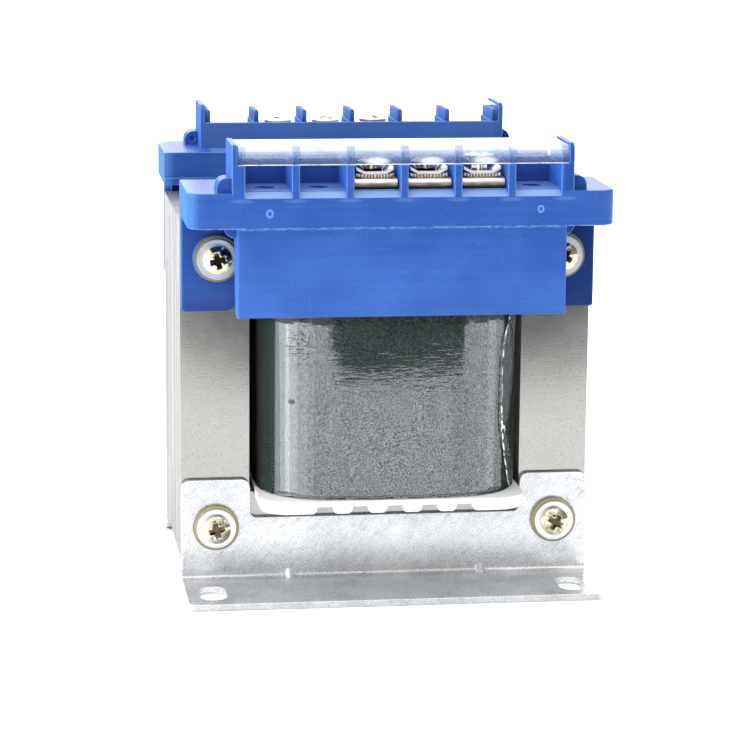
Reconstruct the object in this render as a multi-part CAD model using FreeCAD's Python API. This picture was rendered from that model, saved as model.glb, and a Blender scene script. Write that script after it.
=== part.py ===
import FreeCAD, Part
import math
import os

from FreeCAD import Vector

# Control transformer on two folded feet, with a screw terminal block on each side.
# Millimetres. X runs across the width, Y from front to back, Z up from the surface it stands on.
# The origin is the centre of the footprint, in the plane under the feet.
#
# The rear is the front turned half a turn about Z, so the pieces of one side are drawn once:
# Z is the real height, and Y is counted from the face of the core, negative away from it.

# Core of E and I sheets
TONGUE_WIDTH = 32.0
LEG_WIDTH = 16.0
YOKE_HEIGHT = 16.0
WINDOW_WIDTH = 16.0
WINDOW_HEIGHT = 48.0
STACK_DEPTH = 52.0
PACKET_COUNT = 13
SHEET_JOINT = 0.1
CORE_LIFT = 5.9
CORE_HOLE = 5.6
HOLE_FROM_SIDE = 8.0
HOLE_FROM_END = 8.0

# Bobbin
BOBBIN_SLACK = 0.25
BOBBIN_WALL = 1.3
CHEEK_THICKNESS = 0.9
CHEEK_REACH = 17.0
CHEEK_CORNER = 7.0
CHEEK_SLACK = 1.1
APRON_DROP = 0.15
RIB_DROP = 1.6
RIB_WIDTH = 4.6
RIB_PITCH = 8.05
RIB_COUNT = 4
CORNER_BLOCK_START = 18.0
RIB_CORNER = 1.3

# Coil: each layer is given by its build at the sides and at the front, and its corner radius.
# The outer winding bulges in the middle of its front and rear, and its wrapping follows.
LAYER_GAP = 0.05
COIL_END_SLACK = 0.1
COIL_BULGE = 2.0
COIL_BULGE_RADIUS = 150.0
PRIMARY_SIDE = 6.0
PRIMARY_FRONT = 7.2
PRIMARY_CORNER = 9.0
BARRIER_THICKNESS = 0.6
SECONDARY_SIDE = 5.4
SECONDARY_FRONT = 4.5
SECONDARY_CORNER = 19.5
PAPER_THICKNESS = 0.6
FILM_THICKNESS = 0.2

# Feet of folded sheet
FOOT_SHEET = 1.5
FOOT_BEND = 1.2
FOOT_REACH = 24.2
FOOT_WEB_RISE = 10.0
FOOT_EAR_RISE = 19.2
FOOT_EAR_CORNER = 2.0
FOOT_NOTCH_CORNER = 1.6
FOOT_FRONT_CORNER = 1.8
SLOT_WIDTH = 6.2
SLOT_LENGTH = 11.6
SLOT_REACH = 14.7
SLOT_FROM_SIDE = 6.1
DART_PLACE = 22.6
DART_RADIUS = 1.1
DART_RUN = 2.6
DART_PRESS = 2.4

# Through bolts with their washers, and the sleeves that keep them off the iron
BOLT_DIAMETER = 4.0
BOLT_SLACK = 0.3
BOLT_HEAD = 6.5
BOLT_HEAD_RIM = 1.3
BOLT_HEAD_HEIGHT = 2.4
BOLT_TAIL = 1.8
SLEEVE_SLACK = 0.15
FLAT_WASHER = 9.2
FLAT_WASHER_THICKNESS = 0.9
INSULATING_WASHER = 10.7
INSULATING_WASHER_THICKNESS = 1.1
SPRING_WASHER = 7.0
SPRING_WASHER_THICKNESS = 1.0
SPRING_WASHER_CUT = 0.7
NUT_ACROSS_FLATS = 7.0
NUT_HEIGHT = 3.2
RECESS_SPAN = 3.6
RECESS_WIDTH = 1.15
RECESS_DEPTH = 1.3
DRIVE_SLOT_WIDTH = 0.8
DRIVE_SLOT_DEPTH = 0.6
BOLT_TURN = 15.0

# Terminal block: flange, hood and mounting ears
BLOCK_OVERHANG = 0.1
BLOCK_REACH = 26.5
BLOCK_BACK = 0.6
BLOCK_CORNER = 4.0
BLOCK_WALL = 1.8
BLOCK_TOP_PLATE = 2.0
FLANGE_LIFT = 1.5
FLANGE_HEIGHT = 8.0
HOOD_HALF = 37.0
HOOD_SETBACK = 0.5
HOOD_DROP = 20.0
HOOD_SIDE_TOP = 10.5
HOOD_SIDE_FOOT = 6.5
HOOD_SIDE_CORNER = 1.0
EAR_INSET = 0.1
EAR_WIDTH = 13.6
EAR_DROP = 12.5
EAR_THICKNESS = 4.4
EAR_INNER_CORNER = 4.0
EAR_OUTER_CORNER = 0.7
BOSS_DIAMETER = 11.0
BOSS_RISE = 1.0
LOWER_GUSSET = 2.6
LOWER_GUSSET_THICKNESS = 1.8
BLOCK_EDGE = 0.45

# Terminal block: the strip of compartments on top, and which of them hold a terminal
COMPARTMENT_FITTED = (False, False, True, True, True, False)
COMPARTMENT_COUNT = len(COMPARTMENT_FITTED)
COMPARTMENT_PITCH = 12.1
BARRIER_RIB = 1.7
BARRIER_TONGUE = 1.25
TONGUE_SETBACK = 1.2
END_PLATE = 1.15
STRIP_DEPTH = 16.0
STRIP_FLOOR = 0.4
STRIP_BACK_WALL = 1.5
STRIP_MOUTH = 5.8
END_PLATE_RISE = 10.7
END_PLATE_CORNER = 1.5
SILL_DEPTH = 2.1
SILL_DROP = 1.5
SILL_STEP = 0.25
FLOOR_HOLE = 4.9
FLOOR_HOLE_REACH = 18.0
UPPER_GUSSET = 3.3
UPPER_GUSSET_START = 2.0
UPPER_GUSSET_LENGTH = 5.8
GUSSET_DIMPLE = 1.6
GUSSET_DIMPLE_PLACE = 1.45
GUSSET_DIMPLE_DEPTH = 0.5

# Clear cover over the strip
COVER_WALL = 0.9
COVER_CORNER = 1.4
COVER_SLACK = 0.2
COVER_HEADROOM = 0.1
COVER_BELOW_END_PLATE = 0.35

# Screw terminals: folded plate riveted in the floor hole, two clamp washers, screw and solder tag
FRONT_SCREW_LIFTS = (0.0, 0.0, 1.2)
REAR_SCREW_LIFTS = (0.2, 0.0, 0.0)
PLATE_SHEET = 0.8
PLATE_WIDTH = 9.65
PLATE_HEIGHT = 2.35
PLATE_DEPTH = 12.0
RIVET_SLACK = 0.15
RIVET_BORE_SLACK = 0.1
RIVET_LIP = 0.45
RIVET_LIP_HEIGHT = 0.4
CLAMP_WIDTH = 8.4
CLAMP_DEPTH = 8.6
CLAMP_THICKNESS = 0.7
LOWER_CLAMP_RISE = 0.3
UPPER_CLAMP_RISE = 1.0
CLAMP_FLAT = 4.8
CLAMP_BEND = 1.0
CLAMP_GAP = 0.05
SCREW_DIAMETER = 3.5
SCREW_LENGTH = 7.0
SCREW_HEAD = 6.8
SCREW_SEAT = 4.2
SCREW_HEAD_CONE = 1.4
SCREW_HEAD_RIM = 1.9
SCREW_HEAD_HEIGHT = 2.7
TAG_THICKNESS = 0.5
TAG_EYE = 7.0
TAG_TAIL = 3.0
LEAD_DIAMETER = 1.2
LEAD_SLACK = 0.4

# Distance under which two points count as being in one plane, and as being one point
TOUCH = 0.001
SAME_POINT = 1e-6

# Share of a straight side that the rounding of one of its corners may take up
CORNER_SHARE = 0.499

# Levels and places that follow from the sizes
CORE_HALF = TONGUE_WIDTH / 2 + WINDOW_WIDTH + LEG_WIDTH
BLOCK_HALF = CORE_HALF + BLOCK_OVERHANG
CORE_FACE = STACK_DEPTH / 2
CORE_TOP = CORE_LIFT + WINDOW_HEIGHT + 2 * YOKE_HEIGHT
WINDOW_OUTER = TONGUE_WIDTH / 2 + WINDOW_WIDTH
WINDOW_FLOOR = CORE_LIFT + YOKE_HEIGHT
WINDOW_CEILING = WINDOW_FLOOR + WINDOW_HEIGHT
CORE_MIDDLE = CORE_LIFT + YOKE_HEIGHT + WINDOW_HEIGHT / 2
BOLT_X = CORE_HALF - HOLE_FROM_SIDE
BOLT_LOW = CORE_LIFT + HOLE_FROM_END
BOLT_HIGH = CORE_TOP - HOLE_FROM_END
BOLT_BORE = BOLT_DIAMETER + BOLT_SLACK
FLANGE_FLOOR = CORE_TOP + FLANGE_LIFT
FLANGE_TOP = FLANGE_FLOOR + FLANGE_HEIGHT
PLATE_UNDERSIDE = FLANGE_TOP - BLOCK_TOP_PLATE
STRIP_HALF = COMPARTMENT_COUNT * COMPARTMENT_PITCH / 2 + BARRIER_RIB / 2
STRIP_FLOOR_TOP = FLANGE_TOP + STRIP_FLOOR
STRIP_BACK = STRIP_DEPTH - BLOCK_REACH
SHOULDER = STRIP_FLOOR_TOP + STRIP_MOUTH
END_PLATE_TOP = FLANGE_TOP + END_PLATE_RISE
COVER_TOP = END_PLATE_TOP - COVER_BELOW_END_PLATE
TERMINAL_TOP = STRIP_FLOOR_TOP + PLATE_HEIGHT
CLAMPS_TOP = TERMINAL_TOP + 2 * CLAMP_THICKNESS + CLAMP_GAP
EAR_SEAT = EAR_THICKNESS + BOSS_RISE
CHEEK_HALF = WINDOW_OUTER - CHEEK_SLACK

SPACE = {
    "xy": lambda u, v, w: Vector(u, v, w),
    "xz": lambda u, v, w: Vector(u, w, v),
    "yz": lambda u, v, w: Vector(w, u, v),
}


def box(x0, x1, y0, y1, z0, z1):
    """Block between two opposite corners."""
    return Part.makeBox(x1 - x0, y1 - y0, z1 - z0, Vector(x0, y0, z0))


def outline(plane, corners, level):
    """Closed face through corners (u, v) or (u, v, radius) in one plane."""
    place = SPACE[plane]
    points = [Vector(corner[0], corner[1], 0) for corner in corners]
    radii = [corner[2] if len(corner) > 2 else 0.0 for corner in corners]
    stations = []
    for i, here in enumerate(points):
        back = points[i - 1] - here
        ahead = points[(i + 1) % len(points)] - here
        half_angle = back.getAngle(ahead) / 2
        run = min(radii[i] / math.tan(half_angle), CORNER_SHARE * back.Length, CORNER_SHARE * ahead.Length)
        radius = run * math.tan(half_angle)
        back.normalize()
        ahead.normalize()
        bisector = (back + ahead).normalize() if radius > 0 else Vector()
        middle = here + bisector * (radius / math.sin(half_angle) - radius)
        stations.append((here + back * run, middle, here + ahead * run, radius))
    edges = []
    for i, (enter, middle, leave, radius) in enumerate(stations):
        if radius > 0:
            arc = [place(p.x, p.y, level) for p in (enter, middle, leave)]
            edges.append(Part.Arc(*arc).toShape())
        following = stations[(i + 1) % len(stations)][0]
        if leave.distanceToPoint(following) > SAME_POINT:
            ends = [place(p.x, p.y, level) for p in (leave, following)]
            edges.append(Part.LineSegment(*ends).toShape())
    return Part.Face(Part.Wire(edges))


def prism(plane, corners, low, high):
    """Outline in one plane, pushed from low to high across it."""
    travel = SPACE[plane](0, 0, high - low)
    return outline(plane, corners, low).extrude(travel)


def rounded_box(half_x, half_y, radius, z0, z1):
    """Upright block about the Z axis with rounded vertical edges."""
    corners = [(-half_x, -half_y), (half_x, -half_y), (half_x, half_y), (-half_x, half_y)]
    return prism("xy", [(x, y, radius) for x, y in corners], z0, z1)


def rod(diameter, start, end):
    """Round bar between two points."""
    run = end - start
    return Part.makeCylinder(diameter / 2, run.Length, start, run)


def rod_along_y(diameter, x, z, y0, y1):
    return rod(diameter, Vector(x, y0, z), Vector(x, y1, z))


def rod_along_z(diameter, x, y, z0, z1):
    return rod(diameter, Vector(x, y, z0), Vector(x, y, z1))


def washer(outer, bore, x, z, y0, y1):
    """Flat ring about an axis along Y."""
    return rod_along_y(outer, x, z, y0, y1).cut(rod_along_y(bore, x, z, y0, y1))


def mirrored(shape):
    """The same shape on the other side of the middle plane X = 0."""
    return shape.mirror(Vector(0, 0, 0), Vector(1, 0, 0))


def on_both_sides(shape):
    return [shape, mirrored(shape)]


def joined(shapes):
    """One solid from overlapping or touching shapes, with the seams removed."""
    body = shapes[0]
    for shape in shapes[1:]:
        body = body.fuse(shape)
    return body.removeSplitter()


def eased(shape, radius, chosen):
    """Round over the edges whose middle point is chosen."""
    edges = []
    for edge in shape.Edges:
        middle = edge.valueAt((edge.FirstParameter + edge.LastParameter) / 2)
        if chosen(middle):
            edges.append(edge)
    return shape.makeFillet(radius, edges)


def group(solids):
    """Separate solids kept together in one file."""
    return Part.makeCompound(solids)


def at_front(shape):
    """From the frame of one side to the front of the core."""
    moved = shape.copy()
    moved.translate(Vector(0, -CORE_FACE, 0))
    return moved


def at_rear(shape):
    """From the frame of one side to the rear of the core, half a turn about Z."""
    moved = at_front(shape)
    moved.rotate(Vector(0, 0, 0), Vector(0, 0, 1), 180)
    return moved


def save(name, shape):
    shape.exportStep(f"parts/{name}.step")


# Core

def packet_levels():
    """Front and back of each packet of sheets, from front to rear."""
    thickness = STACK_DEPTH / PACKET_COUNT
    return [(-CORE_FACE + i * thickness, -CORE_FACE + (i + 1) * thickness) for i in range(PACKET_COUNT)]


def core_holes(y0, y1):
    places = [(x, z) for x in (-BOLT_X, BOLT_X) for z in (BOLT_LOW, BOLT_HIGH)]
    return group([rod_along_y(CORE_HOLE, x, z, y0, y1) for x, z in places])


def flipped_in_core(shape, flip):
    """Turn a packet upside down about the middle of the core."""
    turned = shape.copy()
    if flip:
        turned.rotate(Vector(0, 0, CORE_MIDDLE), Vector(0, 1, 0), 180)
    return turned


def e_packet(y0, y1):
    """Sheets with three legs, standing on their yoke."""
    inner = TONGUE_WIDTH / 2
    tip = WINDOW_CEILING
    right = [
        (CORE_HALF, CORE_LIFT),
        (CORE_HALF, tip),
        (WINDOW_OUTER, tip),
        (WINDOW_OUTER, WINDOW_FLOOR),
        (inner, WINDOW_FLOOR),
        (inner, tip),
    ]
    left = [(-x, z) for x, z in reversed(right)]
    return prism("xz", right + left, y0, y1)


def i_packet(y0, y1):
    """Straight sheets that close the legs of the E packet."""
    return box(-CORE_HALF, CORE_HALF, y0, y1, WINDOW_CEILING + SHEET_JOINT, CORE_TOP)


def core_packets(draw):
    """Packets with their yokes up and down by turns, the front one up."""
    packets = []
    for i, (y0, y1) in enumerate(packet_levels()):
        packet = flipped_in_core(draw(y0, y1), i % 2 == 0)
        packets.append(packet.cut(core_holes(y0, y1)))
    return group(packets)


# Bobbin

def cheek():
    """Lower cheek, with an apron and ribs below it outside the core."""
    top = WINDOW_FLOOR + BOBBIN_SLACK + CHEEK_THICKNESS
    reach = CORE_FACE + CHEEK_REACH
    plate = rounded_box(CHEEK_HALF, reach, CHEEK_CORNER, WINDOW_FLOOR + BOBBIN_SLACK, top)
    outside = rounded_box(CHEEK_HALF, reach, CHEEK_CORNER, CORE_LIFT, top)
    outside = outside.cut(box(-CORE_HALF, CORE_HALF, -CORE_FACE - BOBBIN_SLACK, CORE_FACE + BOBBIN_SLACK,
                              CORE_LIFT, CORE_TOP))
    apron_floor = WINDOW_FLOOR - APRON_DROP
    rib_floor = apron_floor - RIB_DROP
    comb = [box(-CHEEK_HALF, CHEEK_HALF, -reach, reach, apron_floor, top)]
    first = -(RIB_COUNT - 1) * RIB_PITCH / 2
    for i in range(RIB_COUNT):
        left = first + i * RIB_PITCH - RIB_WIDTH / 2
        comb.append(comb_tooth(left, left + RIB_WIDTH, rib_floor, apron_floor, reach))
    comb.append(comb_tooth(CORNER_BLOCK_START, CHEEK_HALF, rib_floor, apron_floor, reach))
    comb.append(comb_tooth(-CHEEK_HALF, -CORNER_BLOCK_START, rib_floor, apron_floor, reach))
    return joined([plate, joined(comb).common(outside)])


def comb_tooth(x0, x1, z0, z1, reach):
    """Rib across the underside of the cheek, with rounded lower corners."""
    top = z1 + CHEEK_THICKNESS
    corners = [(x0, z0, RIB_CORNER), (x1, z0, RIB_CORNER), (x1, top), (x0, top)]
    return prism("xz", corners, -reach, reach)


def tube_outline():
    """Half width, half depth and corner radius of the tube round the tongue."""
    half_x = TONGUE_WIDTH / 2 + BOBBIN_SLACK + BOBBIN_WALL
    half_y = CORE_FACE + BOBBIN_SLACK + BOBBIN_WALL
    return half_x, half_y, BOBBIN_WALL


def bobbin():
    """Tube round the tongue between two cheeks."""
    lower = cheek()
    upper = lower.copy()
    upper.rotate(Vector(0, 0, CORE_MIDDLE), Vector(0, 1, 0), 180)
    z0 = WINDOW_FLOOR + BOBBIN_SLACK
    z1 = WINDOW_CEILING - BOBBIN_SLACK
    tube = rounded_box(*tube_outline(), z0, z1)
    bore = rounded_box(TONGUE_WIDTH / 2 + BOBBIN_SLACK, CORE_FACE + BOBBIN_SLACK, 0, CORE_LIFT, CORE_TOP)
    body = joined([tube, lower, upper]).cut(bore)
    hole = LEAD_DIAMETER + LEAD_SLACK
    for x in terminal_xs():
        body = body.cut(rod_along_z(hole, x, primary_lead_y(), CORE_MIDDLE, CORE_TOP))
        body = body.cut(rod_along_z(hole, -x, secondary_lead_y(), CORE_MIDDLE, CORE_TOP))
    return body


# Coil

def grown(layer, side, front, corner, bulge):
    """Outline of a layer wound over another: half width, half depth, corner radius and bulge."""
    half_x, half_y, _, _ = layer
    return half_x + side, half_y + front, corner, bulge


def coil_outlines():
    """Inner and outer outline of each layer, from the bobbin outward."""
    wrapped_corner = SECONDARY_CORNER + PAPER_THICKNESS
    builds = [
        ("primary", PRIMARY_SIDE, PRIMARY_FRONT, PRIMARY_CORNER, 0),
        ("barrier", BARRIER_THICKNESS, BARRIER_THICKNESS, PRIMARY_CORNER + BARRIER_THICKNESS, 0),
        ("secondary", SECONDARY_SIDE, SECONDARY_FRONT, SECONDARY_CORNER, COIL_BULGE),
        ("paper", PAPER_THICKNESS, PAPER_THICKNESS, wrapped_corner, COIL_BULGE),
        ("film", FILM_THICKNESS, FILM_THICKNESS, wrapped_corner + FILM_THICKNESS, COIL_BULGE),
    ]
    layers = {}
    under = (*tube_outline(), 0)
    for name, side, front, corner, bulge in builds:
        inner = grown(under, LAYER_GAP, LAYER_GAP, under[2] + LAYER_GAP, under[3])
        outer = grown(inner, side, front, corner + LAYER_GAP, bulge)
        layers[name] = (inner, outer)
        under = outer
    return layers


def coil_block(half_x, half_y, radius, bulge, z0, z1):
    """Rounded block about the Z axis, fuller in the middle of its front and rear by the bulge."""
    if bulge == 0:
        return rounded_box(half_x, half_y, radius, z0, z1)
    front = [
        (-half_x, -half_y, radius),
        (0, -half_y - bulge, COIL_BULGE_RADIUS),
        (half_x, -half_y, radius),
    ]
    rear = [(-x, -y, corner) for x, y, corner in front]
    return prism("xy", front + rear, z0, z1)


def coil_layer(name):
    """One closed ring of the coil, as high as the bobbin allows."""
    inner, outer = coil_outlines()[name]
    edge = BOBBIN_SLACK + CHEEK_THICKNESS + COIL_END_SLACK
    z0 = WINDOW_FLOOR + edge
    z1 = WINDOW_CEILING - edge
    return coil_block(*outer, z0, z1).cut(coil_block(*inner, z0, z1))


def layer_middle(name):
    """Distance from the middle of the part to the middle of a layer, at the front or rear."""
    inner, outer = coil_outlines()[name]
    return (inner[1] + outer[1]) / 2


def primary_lead_y():
    return -layer_middle("primary")


def secondary_lead_y():
    return layer_middle("secondary")


# Feet

def foot_bracket():
    """Folded foot: its section across the fold, trimmed to its front view and its plan."""
    half = CORE_HALF
    ear_top = CORE_LIFT + FOOT_EAR_RISE
    web_top = CORE_LIFT + FOOT_WEB_RISE
    section = prism("yz", [
        (0, ear_top),
        (0, 0, FOOT_BEND + FOOT_SHEET),
        (-FOOT_REACH, 0),
        (-FOOT_REACH, FOOT_SHEET),
        (-FOOT_SHEET, FOOT_SHEET, FOOT_BEND),
        (-FOOT_SHEET, ear_top),
    ], -half, half)
    front_view = prism("xz", [
        (-half, 0),
        (half, 0),
        (half, ear_top, FOOT_EAR_CORNER),
        (WINDOW_OUTER, ear_top, FOOT_EAR_CORNER),
        (WINDOW_OUTER, web_top, FOOT_NOTCH_CORNER),
        (-WINDOW_OUTER, web_top, FOOT_NOTCH_CORNER),
        (-WINDOW_OUTER, ear_top, FOOT_EAR_CORNER),
        (-half, ear_top, FOOT_EAR_CORNER),
    ], -FOOT_REACH, 0)
    plan = prism("xy", [
        (-half, -FOOT_REACH, FOOT_FRONT_CORNER),
        (half, -FOOT_REACH, FOOT_FRONT_CORNER),
        (half, 0),
        (-half, 0),
    ], 0, ear_top)
    body = section.common(front_view).common(plan)
    for x in (-DART_PLACE, DART_PLACE):
        body = body.fuse(dart(x, DART_RADIUS, 0).common(plan))
        body = body.cut(dart(x, DART_RADIUS / 2, DART_PRESS))
    for x in (-BOLT_X, BOLT_X):
        body = body.cut(rod_along_y(CORE_HOLE, x, BOLT_LOW, -FOOT_SHEET, 0))
    for x in slot_xs():
        body = body.cut(foot_slot(x))
    return body.removeSplitter()


def dart(x, radius, outward):
    """Rib pressed across the fold at 45 degrees, to stiffen it."""
    middle = FOOT_SHEET + FOOT_BEND * (1 - math.sqrt(0.5)) - outward * math.sqrt(0.5)
    step = DART_RUN / 2 * math.sqrt(0.5)
    low = Vector(x, -middle - step, middle - step)
    high = Vector(x, -middle + step, middle + step)
    return rod(2 * radius, low, high)


def slot_xs():
    place = CORE_HALF - SLOT_FROM_SIDE
    return -place, place


def foot_slot(x):
    """Round-ended slot through the foot, running front to back."""
    half_width = SLOT_WIDTH / 2
    half_length = SLOT_LENGTH / 2
    corners = [
        (x - half_width, -SLOT_REACH - half_length, half_width),
        (x + half_width, -SLOT_REACH - half_length, half_width),
        (x + half_width, -SLOT_REACH + half_length, half_width),
        (x - half_width, -SLOT_REACH + half_length, half_width),
    ]
    return prism("xy", corners, 0, FOOT_SHEET)


# Terminal block

def compartment_x(place):
    return (place - (COMPARTMENT_COUNT - 1) / 2) * COMPARTMENT_PITCH


def terminal_xs():
    return [compartment_x(place) for place, fitted in enumerate(COMPARTMENT_FITTED) if fitted]


def flange():
    """Hollow tray turned upside down, open below."""
    def plan(inset, z0, z1):
        corner = BLOCK_CORNER - inset
        return prism("xy", [
            (-BLOCK_HALF + inset, -BLOCK_REACH + inset, corner),
            (BLOCK_HALF - inset, -BLOCK_REACH + inset, corner),
            (BLOCK_HALF - inset, -BLOCK_BACK - inset),
            (-BLOCK_HALF + inset, -BLOCK_BACK - inset),
        ], z0, z1)

    def outside(p):
        level = abs(p.z - FLANGE_TOP) < TOUCH or abs(p.z - FLANGE_FLOOR) < TOUCH
        return level and p.y < -BLOCK_BACK - TOUCH
    shell = eased(plan(0, FLANGE_FLOOR, FLANGE_TOP), BLOCK_EDGE, outside)
    return shell.cut(plan(BLOCK_WALL, FLANGE_FLOOR, PLATE_UNDERSIDE))


def hood():
    """Front plate with two short sides that taper towards the foot."""
    front = -BLOCK_REACH + HOOD_SETBACK
    foot = FLANGE_FLOOR - HOOD_DROP
    plate = box(-HOOD_HALF, HOOD_HALF, front, front + BLOCK_WALL, foot, PLATE_UNDERSIDE)
    side = prism("yz", [
        (front, foot),
        (front + HOOD_SIDE_FOOT, foot, HOOD_SIDE_CORNER),
        (front + HOOD_SIDE_TOP, FLANGE_FLOOR),
        (front + HOOD_SIDE_TOP, PLATE_UNDERSIDE),
        (front, PLATE_UNDERSIDE),
    ], HOOD_HALF - BLOCK_WALL, HOOD_HALF)
    gusset = prism("xz", [
        (HOOD_HALF - BLOCK_WALL, FLANGE_FLOOR + BLOCK_WALL),
        (HOOD_HALF + LOWER_GUSSET, FLANGE_FLOOR + BLOCK_WALL),
        (HOOD_HALF + LOWER_GUSSET, FLANGE_FLOOR - LOWER_GUSSET, LOWER_GUSSET),
        (HOOD_HALF - BLOCK_WALL, FLANGE_FLOOR - LOWER_GUSSET),
    ], front + HOOD_SIDE_FOOT - LOWER_GUSSET_THICKNESS, front + HOOD_SIDE_FOOT)
    shell = joined([plate] + on_both_sides(side))
    shell = eased(shell, BLOCK_EDGE, lambda p: p.y < front + TOUCH and p.z < PLATE_UNDERSIDE - TOUCH)
    return [shell] + on_both_sides(gusset)


def ear():
    """Mounting ear against the core: a skin with a rim behind it and a boss for the bolt."""
    outer = BLOCK_HALF - EAR_INSET
    inner = BLOCK_HALF - EAR_INSET - EAR_WIDTH
    foot = BOLT_HIGH - EAR_DROP

    def plate(inset, y0, y1, top):
        return prism("xz", [
            (inner + inset, foot + inset, EAR_INNER_CORNER - inset),
            (outer - inset, foot + inset, max(EAR_OUTER_CORNER - inset, 0)),
            (outer - inset, top),
            (inner + inset, top),
        ], y0, y1)
    skin = plate(0, -EAR_THICKNESS, -EAR_THICKNESS + BLOCK_WALL, PLATE_UNDERSIDE)
    rim = plate(0, -EAR_THICKNESS, 0, FLANGE_FLOOR + BLOCK_WALL).cut(
        plate(BLOCK_WALL, -EAR_THICKNESS, 0, FLANGE_FLOOR))

    def on_the_front(p):
        return p.y < -EAR_THICKNESS + TOUCH and p.z < PLATE_UNDERSIDE - TOUCH

    shell = eased(joined([skin, rim]), BLOCK_EDGE, on_the_front)
    boss = rod_along_y(BOSS_DIAMETER, BOLT_X, BOLT_HIGH, -EAR_SEAT, 0)
    return joined([shell, boss]).cut(rod_along_y(CORE_HOLE, BOLT_X, BOLT_HIGH, -EAR_SEAT, 0))


def barrier_rib(x):
    """Wall between two compartments, with a narrower tongue that reaches up into the cover."""
    left = x - BARRIER_RIB / 2
    wall = box(left, left + BARRIER_RIB, -BLOCK_REACH, STRIP_BACK, FLANGE_TOP - SILL_DROP, SHOULDER)
    half = BARRIER_TONGUE / 2
    top = COVER_TOP - COVER_WALL - COVER_HEADROOM
    tongue = prism("xz", [
        (x - half, SHOULDER - BARRIER_TONGUE),
        (x + half, SHOULDER - BARRIER_TONGUE),
        (x + half, top, half),
        (x - half, top, half),
    ], -BLOCK_REACH + TONGUE_SETBACK, STRIP_BACK - TONGUE_SETBACK)
    return [wall, tongue]


def end_plate():
    """Outer wall of the strip, higher than the cover, with a gusset on the flange."""
    wall = prism("yz", [
        (-BLOCK_REACH, PLATE_UNDERSIDE),
        (STRIP_BACK, PLATE_UNDERSIDE),
        (STRIP_BACK, END_PLATE_TOP, END_PLATE_CORNER),
        (-BLOCK_REACH, END_PLATE_TOP, END_PLATE_CORNER),
    ], STRIP_HALF, STRIP_HALF + END_PLATE)
    foot = STRIP_HALF + END_PLATE
    start = -BLOCK_REACH + UPPER_GUSSET_START
    gusset = prism("xz", [
        (STRIP_HALF, PLATE_UNDERSIDE),
        (foot + UPPER_GUSSET, PLATE_UNDERSIDE),
        (foot + UPPER_GUSSET, FLANGE_TOP + UPPER_GUSSET, UPPER_GUSSET),
        (STRIP_HALF, FLANGE_TOP + UPPER_GUSSET),
    ], start, start + UPPER_GUSSET_LENGTH)
    end = start + UPPER_GUSSET_LENGTH
    dimple = rod_along_y(GUSSET_DIMPLE, foot + GUSSET_DIMPLE_PLACE, FLANGE_TOP + GUSSET_DIMPLE_PLACE,
                         end - GUSSET_DIMPLE_DEPTH, end)
    return [wall, gusset.cut(dimple)]


def sill_cut(x):
    """Slope at the mouth of a compartment, below its floor."""
    half = (COMPARTMENT_PITCH - BARRIER_RIB) / 2
    front = -BLOCK_REACH
    return prism("yz", [
        (front, STRIP_FLOOR_TOP - SILL_DROP),
        (front + SILL_DEPTH, STRIP_FLOOR_TOP - SILL_STEP),
        (front + SILL_DEPTH, STRIP_FLOOR_TOP),
        (front, STRIP_FLOOR_TOP),
    ], x - half, x + half)


def terminal_block():
    """The blue moulding of one side."""
    pieces = [flange()] + hood() + on_both_sides(ear())
    wall_front = STRIP_BACK - STRIP_BACK_WALL
    pieces.append(box(-STRIP_HALF, STRIP_HALF, -BLOCK_REACH, STRIP_BACK, PLATE_UNDERSIDE, STRIP_FLOOR_TOP))
    pieces.append(box(-STRIP_HALF, STRIP_HALF, wall_front, STRIP_BACK, PLATE_UNDERSIDE, SHOULDER))
    pieces += on_both_sides(joined(end_plate()))
    body = joined(pieces)
    for place in range(COMPARTMENT_COUNT):
        x = compartment_x(place)
        body = body.cut(sill_cut(x))
        body = body.cut(rod_along_z(FLOOR_HOLE, x, -FLOOR_HOLE_REACH, PLATE_UNDERSIDE, STRIP_FLOOR_TOP))
    ribs = []
    for i in range(COMPARTMENT_COUNT + 1):
        ribs += barrier_rib((i - COMPARTMENT_COUNT / 2) * COMPARTMENT_PITCH)
    return joined([body] + ribs)


def terminal_cover():
    """Clear channel that drops over the ribs, between the end plates."""
    half = STRIP_HALF - COVER_SLACK

    def channel(inset, z0):
        corner = COVER_CORNER - inset
        return prism("yz", [
            (-BLOCK_REACH + inset, z0),
            (STRIP_BACK - inset, z0),
            (STRIP_BACK - inset, COVER_TOP - inset, corner),
            (-BLOCK_REACH + inset, COVER_TOP - inset, corner),
        ], -half, half)
    return channel(0, SHOULDER).cut(channel(COVER_WALL, SHOULDER))


# Screw terminals

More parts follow.
